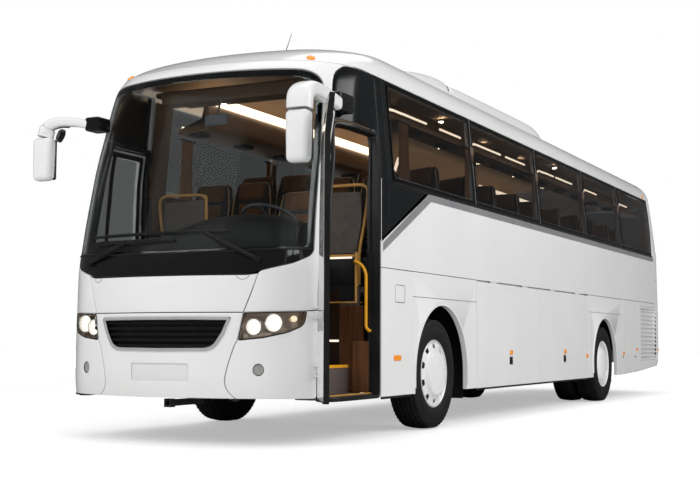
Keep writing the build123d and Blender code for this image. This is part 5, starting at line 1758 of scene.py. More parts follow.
@dataclass
class Roof:
    """Front and rear caps, the long roof, its lining, the pod, marker lamps and the aerial.

    Attributes:
        bend: Radius between side and roof.
        crown: Height of the middle over the end of the bend.
        thick: Of the outer skin.
        front: (height share, share of the way back) of the front cap's profile.
        rear: The same for the rear cap.
        setbacks: How far back the caps' plans lie at the eaves and at the lid, nose first.
        lining: How far the lining lies under the outer skin.
        pod: (x, height over the roof) of the pod's outline.
        pod_half: Half width of the pod.
    """

    bend: float = 0.280
    crown: float = 0.025
    thick: float = 0.030
    lining: float = 0.055
    setbacks: tuple[tuple[float, float], ...] = ((0.53, 1.64), (0.215, 0.64))
    front: tuple[tuple[float, float], ...] = ((0.0, 0.0), (0.302, 0.144), (0.658, 0.387),
                                              (0.925, 0.72), (1.0, 1.0))
    rear: tuple[tuple[float, float], ...] = ((0.0, 0.0), (0.375, 0.176), (0.73, 0.482),
                                             (0.943, 0.812), (1.0, 1.0))
    pod: tuple[tuple[float, float], ...] = (
        (0.150, -0.030), (0.080, -0.005), (0.000, 0.018), (-0.130, 0.042), (-0.280, 0.062),
        (-0.470, 0.085), (-0.660, 0.100), (-0.800, 0.104), (-0.920, 0.100), (-1.000, 0.090),
        (-1.052, 0.078), (-1.062, 0.062), (-1.070, 0.062), (-1.080, 0.080), (-1.200, 0.087),
        (-1.420, 0.095), (-2.000, 0.102), (-2.700, 0.110), (-3.500, 0.114), (-3.800, 0.111),
        (-3.980, 0.100), (-4.100, 0.082), (-4.190, 0.055), (-4.240, 0.015), (-4.262, -0.030))
    pod_half: float = 0.980

    def flank(self, steps: int) -> tuple[Array, Array]:
        """(y, z) of the roof's section from the eaves to the middle.

        Args:
            steps: Points along the bend.

        Returns:
            Distances from the middle, and heights.
        """
        a = np.linspace(0, math.pi / 2, steps)
        top = EAVE_Z + self.bend
        flat = np.linspace(EAVE_HALF - self.bend, 0, 8)[1:]
        y = np.concatenate([EAVE_HALF - self.bend * (1 - np.cos(a)), flat])
        rise = self.crown * (1 - (flat / (EAVE_HALF - self.bend)) ** 2)
        return y, np.concatenate([EAVE_Z + self.bend * np.sin(a), top + rise])

    def height(self, y: Array) -> Array:
        """Height of the roof at a distance from the middle."""
        across, z = self.flank(24)
        return np.interp(-np.abs(y), -across, z)

    def cap(self, skin: EndSkin, back: tuple[float, float], profile: Array,
            inset: float = 0.0) -> Array:
        """Points of a cap: rings of the plan up its profile, then its lid.

        Args:
            skin: The end below it, which gives arc and corner radii.
            back: Setback of the plan at the eaves and at the lid.
            profile: (height share, setback share) rows.
            inset: How far inside the outer skin the points lie.

        Returns:
            Array of shape (rows, columns, 3).
        """
        a = np.linspace(0, math.pi / 2, 14)
        share = table_curve(np.sin(a), profile[:, 0], profile[:, 1])
        bend = self.bend - inset
        z = EAVE_Z + bend * np.sin(a)
        half = EAVE_HALF - inset - bend * (1 - np.cos(a))
        setback = back[0] + (back[1] - back[0]) * share + inset * (1 - share)
        u = np.concatenate([np.linspace(-3, -2, 6)[:-1], np.linspace(-2, -1, 14)[:-1],
                            np.linspace(-1, 1, 31)[:-1], np.linspace(1, 2, 14)[:-1],
                            np.linspace(2, 3, 6)])
        rings = []
        for height, b, h in zip(z, setback, half):
            level = EndSkin(((0.0, b, h), (9.0, b, h)), skin.centre_x, skin.radius, skin.corner,
                            skin.join_x, skin.sense)
            ring = level.point(u, np.full_like(u, 1.0))
            ring[:, 2] = height
            rings.append(ring)
        rim = rings[-1]
        reach = (rim[:, 0] - skin.join_x) / (rim[:, 0].max() - skin.join_x if skin.sense > 0
                                             else rim[:, 0].min() - skin.join_x)
        for r in (0.85, 0.7, 0.5, 0.25, 0.0):
            row = rim * (1.0, r, 1.0)
            row[:, 2] += self.crown * (1 - r * r) * np.sqrt(np.clip(1 - reach ** 2, 0, 1))
            rings.append(row)
        return np.stack(rings)

    def build(self) -> None:
        """Make every piece of the roof."""
        nose = EndSkin(NOSE.rows, NOSE.centre_x, NOSE.radius, NOSE.corner, CAP_FRONT + 0.002)
        tail = EndSkin(NOSE.rows, -4.95, 5.0, 0.3, CAP_REAR - 0.002, -1.0)
        ahead = self.cap(nose, self.setbacks[0], np.array(self.front))
        behind = self.cap(tail, self.setbacks[1], np.array(self.rear))
        publish("roof_cap_front", shell(ahead, self.thick, False), PAINT,
                stands_for=("roof_front_cap",))
        publish("roof_cap_rear", shell(behind, self.thick, False), PAINT,
                stands_for=("roof_rear_cap",))
        y, z = self.flank(14)
        y, z = np.concatenate([y, -y[-2::-1]]), np.concatenate([z, z[-2::-1]])
        x = np.linspace(CAP_REAR + 0.002, CAP_FRONT - 0.002, 12)
        grid = np.stack(np.broadcast_arrays(x[:, None], y[None], z[None]), axis=-1)
        publish("roof_skin", shell(grid, self.thick), PAINT, stands_for=("roof",))
        under = grid * (1.0, 0.955, 1.0) - (0.0, 0.0, self.lining)
        inner = self.cap(nose, self.setbacks[0], np.array(self.front), self.lining)
        inner = inner[3:] * (1.0, 0.97, 1.0) - (0.03, 0.0, 0.02)
        publish("ceiling_lining", joined([shell(under, 0.008), shell(inner, 0.006, False)]),
                LINING)
        publish("roof_pod", self.pod_form(), PAINT, sharp=30.0, stands_for=("roof_unit",))
        publish("roof_pod_lines", both(self.pod_lines()), SEAM_BLACK)
        self.markers()

    def pod_side(self, y: Array) -> Array:
        """Share of the pod's height at a distance from the middle: a quarter circle's rise."""
        share = np.clip((self.pod_half - np.abs(y)) / 0.05, 0, 1)
        return np.sqrt(share * (2 - share))

    def pod_form(self) -> Form:
        """The pod: its outline's height, rolled down steeply to the roof at its long edges.

        Returns:
            The closed form.
        """
        x, rise = np.array(self.pod).T
        y = self.pod_half * np.concatenate([-np.cos(np.linspace(0, math.pi / 2, 30)),
                                            np.cos(np.linspace(math.pi / 2, 0, 30))[1:]])
        top = EAVE_Z + self.bend + self.crown - 0.010 * (y / self.pod_half) ** 2
        under = self.height(y) - 0.03
        z = under[None, :] + np.maximum(top + rise[:, None] - under, 0.0) * self.pod_side(y)
        grid = np.stack(np.broadcast_arrays(x[:, None], y[None], z), axis=-1)
        return shell(grid, 0.015)

    def pod_lines(self) -> Form:
        """Dark joint round the pod's front hump and the shadow line at its foot.

        Returns:
            Both bars on the left half.
        """
        y = np.linspace(0.0, 0.975, 40)
        x = -1.066 + 0.035 * (y / 0.975) ** 8
        under = self.height(y)
        top = EAVE_Z + self.bend + self.crown + 0.064
        joint = np.stack([x, y, under + (top - under) * self.pod_side(y)], axis=1)
        # The bar at the pod's foot is painted shadow: a black line where the pod meets the roof.
        z = float(self.height(np.array([self.pod_half]))[0]) + 0.004
        foot = np.linspace((-1.03, self.pod_half + 0.001, z), (-4.235, self.pod_half + 0.001, z),
                           40)
        return joined([tube(joint, 0.009, 8, up=(1.0, 0.0, 0.0)), tube(foot, 0.006, 8)])

    def markers(self) -> None:
        """Amber markers at the corners of the roof, and the aerial."""
        cap = EndSkin(((3.165, 0.53, 1.19), (3.25, 0.69, 1.177), (3.35, 0.96, 1.12)),
                      NOSE.centre_x, NOSE.radius, NOSE.corner, CAP_FRONT)
        u, z = cap.u_at_y(0.93, 3.195), np.asarray(3.195)
        front = lathe([(0.0, 0.0), (0.036, 0.0), (0.038, 0.010), (0.034, 0.017), (0.020, 0.022),
                       (0.0, 0.024)], cap.sunk(u, z, 0.006), cap.normal(u, z), 32)
        rear = lathe([(0.0, 0.0), (0.030, 0.0), (0.032, 0.008), (0.022, 0.014), (0.0, 0.016)],
                     (-8.95, 1.186, 3.20), (0.0, 1.0, 0.12), 24)
        publish("roof_markers", both(joined([front, rear])), AMBER)
        foot = disc(0.026, 0.022, (1.29, 0.30, 3.425), (0.0, 0.0, 1.0), 0.008, 24, 0.004)
        rod = bar(((1.29, 0.30, 3.435), (1.22, 0.30, 3.55), (1.16, 0.30, 3.66)), 12,
                  np.linspace(0.004, 0.0022, 12), 10, up=(0, 1, 0))
        publish("aerial", joined([foot, rod]), FRAME_BLACK)


# ---------------------------------------------------------------- sides
SIDE_SKIN = SideSkin()


def on_side(corners: Sequence[tuple[float, float]], radius: float = 0.0) -> Array:
    """A closed outline on the side, with its corners rounded."""
    return filleted([(x, z, radius) for x, z in corners])


def box_of(rear: float, front: float, low: float, high: float) -> list[tuple[float, float]]:
    """Corners of an upright rectangle on the side."""
    return [(rear, low), (front, low), (front, high), (rear, high)]


@dataclass
class Flanks:
    """Side glass, lines, lamps and small fittings of both sides.

    Attributes:
        joint: Half the gap between panes.
        edge: Width of the panes' printed edge.
        markers: (x, z) of the amber side lamps on the fixed panels.
        front_flap_markers: The same on a front luggage flap.
        rear_flap_markers: The same on a rear luggage flap.
        handles: (x, z) of the flap handles.
    """

    joint: float = 0.005
    edge: float = 0.045
    markers: tuple[tuple[float, float], ...] = ((0.942, 0.680), (-7.222, 0.663),
                                                (-8.073, 0.714))
    front_flap_markers: tuple[tuple[float, float], ...] = ((-2.124, 0.709),)
    rear_flap_markers: tuple[tuple[float, float], ...] = ((-4.200, 0.706), (-5.219, 0.645))
    handles: tuple[tuple[float, float], ...] = ((-2.120, 0.612), (-4.180, 0.612))

    def build(self) -> None:
        """Make every piece of both sides."""
        panes, prints = [], []
        low, high = WAIST_Z, EAVE_Z - 0.004
        for rear, front in zip(DIVIDERS, DIVIDERS[1:]):
            a, b = rear + self.joint, front - self.joint
            rim = box_of(a, b, low, high)
            if rear == DIVIDERS[0]:
                rim = [(a + 0.06, low), (b, low), (b, high), (a + 0.045, high), (a, 2.9),
                       (a, 2.6)]
            loop = on_side(rim, 0.012)
            panes.append(panel(SIDE_SKIN, loop, 0.006, step=0.25, roll=0.002))
            hole = on_side(box_of(a + self.edge + 0.02, b - self.edge, low + self.edge,
                                  high - self.edge), 0.03)
            prints.append(panel(SIDE_SKIN, grown(loop, -0.003), 0.002, [hole], 0.2, 0.0006,
                                0.0075))
        publish("side_panes", both(joined(panes)), TINT, stands_for=("side_glass",))
        waist = panel(SIDE_SKIN, on_side([(DIVIDERS[0] + 0.03, 2.212), (0.235, 2.212),
                                          (1.036, 2.224), (1.036, WAIST_Z + 0.006),
                                          (DIVIDERS[0] + 0.03, WAIST_Z + 0.006)]), 0.010,
                      step=0.25, roll=0.001, sunk=-0.0012)
        publish("waist_bands", both(waist), GLOSS_BLACK)
        dark = panel(SIDE_SKIN, on_side([(1.035, 3.161), (1.035, 2.232), (0.10, 2.232),
                                         (0.262, 2.192), (1.272, 1.685), (1.272, 3.161)]), 0.008,
                     step=0.15, roll=0.002)
        behind = panel(SIDE_SKIN, on_side(box_of(1.250, 1.302, 1.70, 3.150)), 0.012, step=0.2,
                       sunk=0.0012)
        publish("dark_door_quarter", both(joined([dark, behind])), DARK_PANE)
        publish("side_pane_edges", both(joined(prints)), GLOSS_BLACK)
        self.lines()
        self.fittings()

    def lines(self) -> None:
        """Thin dark seams drawn on the skirts and the quarters, and the filler flap."""
        seams = [ribbon(SIDE_SKIN, np.linspace((rear + 0.004, 1.235), (front - 0.004, 1.235), 24),
                        0.005, 0.0010, closed=False)
                 for rear, front in ((SEAMS[1], SEAMS[0]), (SEAMS[4], SEAMS[3]))]
        publish("arch_seams", both(joined(seams)), SEAM_BLACK)
        flap = on_side(box_of(0.777, 0.986, 1.171, 1.326), 0.02)
        publish("filler_flap_seam", ribbon(SIDE_SKIN, evenly(flap, 0.02), 0.005, 0.0010),
                SEAM_BLACK)
        publish("filler_flap", panel(SIDE_SKIN, grown(flap, -0.004), 0.004, step=0.06,
                                     roll=0.0015, sunk=-0.0015), PAINT)
        for name, start, end, width in (("seam", (1.118, 1.79), (1.118, 3.15), 0.006),
                                        ("line", (0.32, 2.205), (1.10, 2.205), 0.005)):
            publish(f"quarter_{name}", both(ribbon(SIDE_SKIN, np.linspace(start, end, 16), width,
                                                   0.0010, closed=False)), SEAM_BLACK)

    @staticmethod
    def lamp(x: float, z: float, half: float = 0.046) -> Form:
        """An amber side lamp, twice `half` long, at (x, z) on the left side."""
        return rounded_block((x - half, HALF - 0.004, z - 0.024),
                             (x + half, HALF + 0.008, z + 0.024), 0.006, 3)

    @staticmethod
    def handle(x: float, z: float) -> Form:
        """A flap handle in its recess plate on the left side.

        Args:
            x: Of its middle.
            z: Of its middle.

        Returns:
            The form.
        """
        return joined([rounded_block((x - 0.050, HALF - 0.004, z - 0.036),
                                     (x + 0.050, HALF + 0.003, z + 0.050), 0.004),
                       rounded_block((x - 0.036, HALF + 0.001, z - 0.026),
                                     (x + 0.036, HALF + 0.009, z + 0.022), 0.005)])

    def fittings(self) -> None:
        """Amber side lamps, flap handles, slots and the lower black edge."""
        tail = [rounded_block((-9.58, HALF - 0.03, 0.693), (-9.50, HALF + 0.006, 0.727), 0.006)]
        fixed = [self.lamp(x, z, 0.074 if x > 0.0 else 0.046) for x, z in self.markers]
        publish("side_marker_lamps", both(joined(fixed + tail)), AMBER)
        for place, spots, handle in (("front", self.front_flap_markers, self.handles[0]),
                                     ("rear", self.rear_flap_markers, self.handles[1])):
            lamps = joined([self.lamp(x, z) for x, z in spots])
            pull = self.handle(*handle)
            for side in Side:
                flap = f"{side.name.lower()}_{place}_flap"
                publish(f"{flap}_lamps", lamps.on(side), AMBER, f"{flap}_body")
                publish(f"{flap}_handle", pull.on(side), FRAME_BLACK, f"{flap}_body")
        slots = [rounded_block((x - 0.035, HALF - 0.003, 0.600), (x + 0.035, HALF + 0.002, 0.620),
                               0.002) for x in (-7.200, -7.950)]
        publish("skirt_slots", both(joined(slots)), FRAME_BLACK)
        sills = [rounded_block((a, HALF - 0.030, SKIRT_Z - 0.022),
                               (b, HALF - 0.012, SKIRT_Z + 0.03), 0.005)
                 for a, b in ((0.61, 1.23), (-5.32, -1.05))]
        publish("sill_edges", both(joined(sills)), SEAM_BLACK)


# ---------------------------------------------------------------- wheels
@dataclass
class DishSkin(Skin):
    """A wheel's dished disc: (u, z) are X and Z from the hub, and Y comes from a profile.

    Attributes:
        centre: Of the hub.
        profile: (radius, distance outwards) rows.
    """

    centre: tuple[float, float, float]
    profile: tuple[tuple[float, float], ...]
    outward = -1.0

    def point(self, u: Array, z: Array) -> Array:
        """Points of the disc: Y grows by the profile read at the distance from the hub.

        Args:
            u: X from the hub.
            z: Z from the hub.

        Returns:
            One point for each pair.
        """
        u, z = np.broadcast_arrays(np.asarray(u, float), np.asarray(z, float))
        rows = np.array(self.profile)
        out = table_curve(np.hypot(u, z).ravel(), rows[:, 0], rows[:, 1]).reshape(u.shape)
        return np.stack([self.centre[0] + u, self.centre[1] + out, self.centre[2] + z], axis=-1)


def ring_of(radius: float, count: int) -> Array:
    """Points of a circle about the origin."""
    a = np.linspace(0, 2 * math.pi, count, endpoint=False)
    return radius * np.stack([np.cos(a), np.sin(a)], axis=1)


@dataclass
class Wheels:
    """Treaded tyres, pierced front covers and domed rear covers.

    Attributes:
        blocks: Tread blocks round a tyre.
        grooves: Places of the four grooves across the tread.
        groove: Depth of a groove.
        holes: Hand holes in a front cover.
    """

    blocks: int = 56
    grooves: tuple[float, ...] = (-0.068, -0.023, 0.023, 0.068)
    groove: float = 0.013
    holes: int = 10

    def tyre(self, centre: Sequence[float]) -> Form:
        """One tyre, with grooves round it and notches across its shoulders.

        Radius falls by the groove's depth inside each groove, and by a third of it wherever
        the angle lies in a notch and |y| is over 0.095.

        Args:
            centre: Middle of the tyre.

        Returns:
            The closed form.
        """
        half = TYRE_WIDTH / 2
        wall = [(0.300, 0.105), (0.312, 0.118), (0.322, 0.124), (0.332, 0.128), (0.345, 0.136),
                (0.372, half - 0.003), (0.408, half), (0.440, half - 0.0015),
                (0.446, half - 0.0050), (0.452, half - 0.0035), (0.476, half - 0.010),
                (0.496, half - 0.016), (0.510, half - 0.022)]
        crown = []
        for at in sorted({0.118, 0.108, 0.096} | {abs(g) + d for g in self.grooves
                                                  for d in (-0.006, -0.0045, 0.0045, 0.006)}):
            crown.append((TYRE_RADIUS - 0.9 * at ** 2, at))
        upper = [(r, -y) for r, y in wall] + [(r, -y) for r, y in crown[::-1]]
        profile = np.array(upper + crown + wall[::-1])
        bore = np.array([(0.290, 0.100), (0.290, -0.100)])
        profile = np.vstack([profile, bore])
        r, y = profile.T
        grooved = np.any(np.abs(y[:, None] - np.array(self.grooves)[None]) < 0.005, axis=1) \
            & (r > 0.5)
        r = r - self.groove * grooved
        a = np.linspace(0, 2 * math.pi, self.blocks * 4, endpoint=False)
        notch = np.isin(np.arange(len(a)) % 4, (0,))
        shoulder = (r > 0.494) & (np.abs(y) > 0.095)
        radius = r[None, :] - 0.0075 * notch[:, None] * shoulder[None, :]
        x = centre[0] + radius * np.cos(a)[:, None]
        z = centre[2] + radius * np.sin(a)[:, None]
        grid = np.stack([x, np.broadcast_to(centre[1] + y, x.shape), z], axis=-1)
        return Form(grid.reshape(-1, 3), [net(len(a), len(r), True, True)])

    def build(self) -> None:
        """Make all six tyres and the four covers."""
        face = TYRE_FACE - TYRE_WIDTH / 2
        front = (0.0, face, TYRE_RADIUS)
        outer = (REAR_AXLE_X, face, TYRE_RADIUS)
        inner = (REAR_AXLE_X, face - TYRE_WIDTH - TWIN_GAP, TYRE_RADIUS)
        rows = (("front_left", "front_left_wheel", [front], "tyre"),
                ("rear_left", "rear_left_wheels", [outer, inner], "tyres"))
        for name, body, centres, word in rows:
            tyres = joined([self.tyre(c) for c in centres])
            metal = self.front_cover(front) if "front" in name else self.rear_cover(outer)
            barrel = joined([self.barrel(c) for c in centres])
            for side in Side:
                own, ride = (text.replace("left", side.name.lower()) for text in (name, body))
                publish(f"{own}_treads", tyres.on(side), TREAD, ride, 30.0,
                        stands_for=(f"{own}_{word}",))
                publish(f"{own}_cover", metal.on(side), COVER, ride, stands_for=(f"{own}_rim",))
                publish(f"{own}_barrel", barrel.on(side), RIM, ride)

    def barrel(self, centre: Sequence[float]) -> Form:
        """The rim inside a tyre: a drum with a flange at each edge.

        Args:
            centre: Middle of the tyre.

        Returns:
            The closed form.
        """
        profile = [(0.262, -0.100), (0.300, -0.112), (0.318, -0.118), (0.321, -0.126),
                   (0.314, -0.131), (0.305, -0.124), (0.262, -0.108), (0.250, -0.09),
                   (0.250, 0.09), (0.262, 0.104), (0.305, 0.124), (0.314, 0.131),
                   (0.321, 0.126), (0.318, 0.118), (0.300, 0.110), (0.262, 0.096)]
        form = lathe(profile, centre, (0.0, 1.0, 0.0), 72)
        return Form(form.points, [net(len(profile), 72, True, True)])

    def front_cover(self, centre: Sequence[float]) -> Form:
        """White cover with hand holes round a raised disc.

        Args:
            centre: Middle of the tyre.

        Returns:
            The closed form.
        """
        skin = DishSkin(tuple(centre),
                        ((0.0, 0.168), (0.10, 0.167), (0.17, 0.165), (0.203, 0.162),
                         (0.212, 0.155), (0.218, 0.141), (0.232, 0.133), (0.262, 0.126),
                         (0.290, 0.119), (0.306, 0.123), (0.314, 0.127)))
        holes = []
        for k in range(self.holes):
            a = 2 * math.pi * (k + 0.5) / self.holes
            c, s = math.cos(a), math.sin(a)
            box = filleted([(-0.022, -0.026, 0.010), (0.024, -0.036, 0.012),
                            (0.024, 0.036, 0.012), (-0.022, 0.026, 0.010)])
            box[:, 0] += 0.264
            holes.append(np.stack([c * box[:, 0] - s * box[:, 1], s * box[:, 0] + c * box[:, 1]],
                                  axis=1))
        plate = panel(skin, ring_of(0.313, 96), 0.006, holes, 0.016, 0.002)
        mark = lathe([(0.052, 0.1665), (0.056, 0.1690), (0.060, 0.1665), (0.056, 0.165),
                      (0.052, 0.1665)], centre, (0, 1, 0), 48)
        return joined([plate, mark])

    def rear_cover(self, centre: Sequence[float]) -> Form:
        """White flanged dish with a broad smooth dome.

        Args:
            centre: Middle of the outer tyre.

        Returns:
            The closed form.
        """
        rim = lathe([(0.200, 0.060), (0.236, 0.062), (0.246, 0.078), (0.300, 0.112),
                     (0.314, 0.128), (0.310, 0.131), (0.300, 0.122), (0.262, 0.100),
                     (0.246, 0.088), (0.236, 0.072), (0.200, 0.068)], centre, (0, 1, 0), 96)
        rim = Form(rim.points, [net(11, 96, True, True)])
        dome = [(0.0, 0.066), (0.236, 0.066), (0.240, 0.072), (0.238, 0.090), (0.228, 0.106),
                (0.205, 0.120), (0.17, 0.131), (0.12, 0.139), (0.06, 0.143), (0.0, 0.144)]
        return joined([rim, lathe(dome, centre, (0, 1, 0), 96)])


# ---------------------------------------------------------------- doors and mirrors
@dataclass
class Doors:
    """Both door leaves and their panes; the left one hangs wide open.

    Attributes:
        hinge: (x, y) of the left leaf's hinge.
        swing: Degrees from shut to open.
        arms: Height of each hinge arm's foot.
        brackets: Height of each bracket's foot on the post.
    """

    hinge: tuple[float, float] = (2.318, 1.232)
    swing: float = 148.0
    arms: tuple[float, ...] = (0.560, 1.020)
    brackets: tuple[float, ...] = (0.543, 0.623, 1.003, 1.083)

    def opened(self, form: Form) -> Form:
        """A form of the shut left leaf, swung open about the hinge.

        Args:
            form: As it lies on the shut leaf.

        Returns:
            The same form on the open leaf.
        """
        x, y = self.hinge
        turn = Matrix.Translation((x, y, 0)) @ Matrix.Rotation(-math.radians(self.swing), 4, "Z") \
            @ Matrix.Translation((-x, -y, 0))
        return form.turned(turn)

    def build(self) -> None:
        """Make leaves, seals and panes."""
        leaf = Nose().doorway(-0.011)
        spots = [by_x(1.405, 0.900, 0.05), by_x(2.150, 0.900, 0.05), by_x(2.150, 1.25, 0.1),
                 by_x(1.985, 2.10), by_x(1.892, 2.525, 0.05), by_x(1.405, 2.525, 0.05)]
        hole = filleted(spots)
        slab = panel(NOSE, leaf, 0.038, [hole], 0.06, 0.007)
        pane = panel(NOSE, grown(hole, -0.002), 0.008, step=0.08, roll=0.002, sunk=0.004)
        seal = panel(NOSE, grown(leaf, 0.002), 0.041, [grown(leaf, -0.014)], 0.06, 0.004, -0.001)
        back = [(1.36, 0.45), (2.19, 0.45), (2.19, 1.25), (2.09, 1.72), (1.92, 2.57),
                (1.36, 2.57)]
        low = filleted([by_x(1.84, 0.90, 0.03), by_x(2.15, 0.90, 0.03), by_x(2.15, 1.25, 0.05),
                        by_x(1.985, 2.10), by_x(1.892, 2.525, 0.03), by_x(1.84, 2.525, 0.03)])
        rest = filleted([by_x(1.405, 0.90, 0.03), by_x(1.78, 0.90, 0.03),
                         by_x(1.78, 2.525, 0.03), by_x(1.405, 2.525, 0.03)])
        liner = panel(NOSE, filleted([by_x(x, z, 0.04) for x, z in back]), 0.006, [low, rest],
                      0.06, 0.002, 0.0385)
        x, y = self.hinge
        arms = []
        for z in self.arms:
            arms.append(lathe([(0.0, 0.0), (0.014, 0.0), (0.014, 0.060), (0.0, 0.060)],
                              (x, y, z), (0, 0, 1), 24))
            arms.append(bar(((x, y, z + 0.03), (2.27, 1.247, z + 0.03), (2.16, 1.242, z + 0.03)),
                            10, 0.022, 12, flat=0.45, square=0.5))
        brackets = [rounded_block((x + a, y0, z), (x + b, y1, z + 0.014), 0.005, 2)
                    for a, b, y0, y1 in ((-0.052, 0.004, y - 0.060, y - 0.012),
                                         (-0.110, -0.060, 0.030 - y, 0.075 - y))
                    for z in self.brackets]
        publish("hinge_brackets", joined(brackets), PAINT, stands_for=("door_hinge_brackets",))
        parts = (("leaf", joined([slab] + arms), PAINT, "left_door", "right_door"),
                 ("pane", pane, SCREEN, "left_door_glass", "right_door_glass"),
                 ("liner", liner, FRAME_BLACK, "", ""), ("seal", seal, SEAM_BLACK, "", ""))
        for word, form, finish, left, right in parts:
            publish(f"open_door_{word}", self.opened(form), finish, "left_door_leaf",
                    stands_for=(left,) if left else ())
            shut = slab.mirrored() if word == "leaf" else form.mirrored()
            publish(f"shut_door_{word}", shut, finish, stands_for=(right,) if right else ())


@dataclass
class Mirrors:
    """Both outside mirrors on their curved arms and the wide-angle mirror."""

    @staticmethod
    def arm(points: Sequence[Sequence[float]], thick: Sequence[float],
            across: Sequence[float], up: Sequence[float]) -> Form:
        """A boxy arm that swells towards its mirror.

        Args:
            points: Path of its middle.
            thick: Half height at each of those points.
            across: Half width over half height at each of those points.
            up: A direction that the path never follows.

        Returns:
            The closed form.
        """
        at = np.linspace(0, len(points) - 1, 40)
        knots = np.arange(len(points))
        return bar(points, 40, np.interp(at, knots, thick), 28,
                   flat=np.interp(at, knots, across), up=up, square=0.55)

    @staticmethod
    def head(low: Sequence[float], high: Sequence[float]) -> tuple[Form, Form, Form]:
        """Shell, black bezel and mirror face of one mirror.

        Args:
            low: Lowest corner.
            high: Highest corner.

        Returns:
            The three forms.
        """
        x0 = low[0]
        shell = rounded_block((x0 + 0.02, low[1], low[2]), high, 0.045, 6, 3)
        taper = (shell.points[:, 2] - low[2]) / (high[2] - low[2])
        middle = 0.5 * (low[1] + high[1])
        narrow = 0.90 + 0.10 * taper
        shell.points[:, 1] = middle + (shell.points[:, 1] - middle) * narrow
        bezel = rounded_block((x0 + 0.006, low[1] + 0.012, low[2] + 0.012),
                              (x0 + 0.05, high[1] - 0.012, high[2] - 0.012), 0.018, 4, 2)
        face = rounded_block((x0, low[1] + 0.024, low[2] + 0.024),
                             (x0 + 0.012, high[1] - 0.024, high[2] - 0.024), 0.005, 3, 2)
        return shell, bezel, face

    def build(self) -> None:
        """Make every mirror."""
        left_arm = self.arm(((2.100, 1.262, 2.752), (2.330, 1.275, 2.772), (2.560, 1.290, 2.772),
                             (2.700, 1.296, 2.748), (2.778, 1.297, 2.690),
                             (2.792, 1.297, 2.583)),
                            (0.054, 0.056, 0.060, 0.066, 0.070, 0.070),
                            (0.85, 1.0, 1.2, 1.35, 1.42, 1.42), (0.3, 0.0, 1.0))
        right_arm = self.arm(((2.190, -1.180, 2.750), (2.225, -1.320, 2.778),
                              (2.262, -1.470, 2.782), (2.295, -1.565, 2.745),
                              (2.315, -1.588, 2.645)),
                             (0.040, 0.040, 0.046, 0.055, 0.060),
                             (1.0, 1.1, 1.25, 1.25, 1.2), (0.0, 0.3, 1.0))
        left = self.head((2.715, 1.197, 2.170), (2.865, 1.398, 2.575))
        right = self.head((2.245, -1.690, 2.250), (2.385, -1.485, 2.638))
        publish("mirror_arms", joined([left_arm, right_arm]), SHELL, stands_for=("mirrors",))
        publish("mirror_shells", joined([left[0], right[0]]), SHELL)
        publish("mirror_bezels", joined([left[1], right[1]]), GLOSS_BLACK)
        publish("mirror_faces", joined([left[2], right[2]]), MIRROR)
        feet = [rounded_block((1.860, 1.170, 2.700), (2.125, 1.300, 2.855), 0.022, 4, 2),
                rounded_block((2.050, -1.215, 2.690), (2.235, -1.060, 2.815), 0.022, 4, 2)]
        slot = bar(((2.232, -1.375, 2.742), (2.255, -1.44, 2.745), (2.275, -1.50, 2.735)), 12,
                   np.array([0.004] + [0.013] * 10 + [0.004]), 14, flat=1.4, up=(0.0, 0.3, 1.0))
        wide, lens = (lathe(profile, (2.300, -1.460, 2.668), (-0.8, 0.5, -0.3), 36)
                      for profile in (((0.0, 0.0), (0.050, 0.004), (0.062, 0.022),
                                       (0.062, 0.046), (0.056, 0.052), (0.0, 0.050)),
                                      ((0.0, 0.050), (0.054, 0.049), (0.054, 0.053),
                                       (0.03, 0.060), (0.0, 0.063))))
        publish("mirror_feet", joined(feet + [slot, wide]), GLOSS_BLACK)
        publish("wide_mirror_face", lens, MIRROR)
        loop = filleted([(x, y, 0.03) for x, y in ((2.717, 1.195), (2.717, 1.400),
                                                   (2.867, 1.400), (2.867, 1.195))])
        seam = tube(np.column_stack([loop, np.full(len(loop), 2.579)]), 0.0018, 8, wrap=True)
        publish("mirror_seams", seam, SEAM_BLACK)




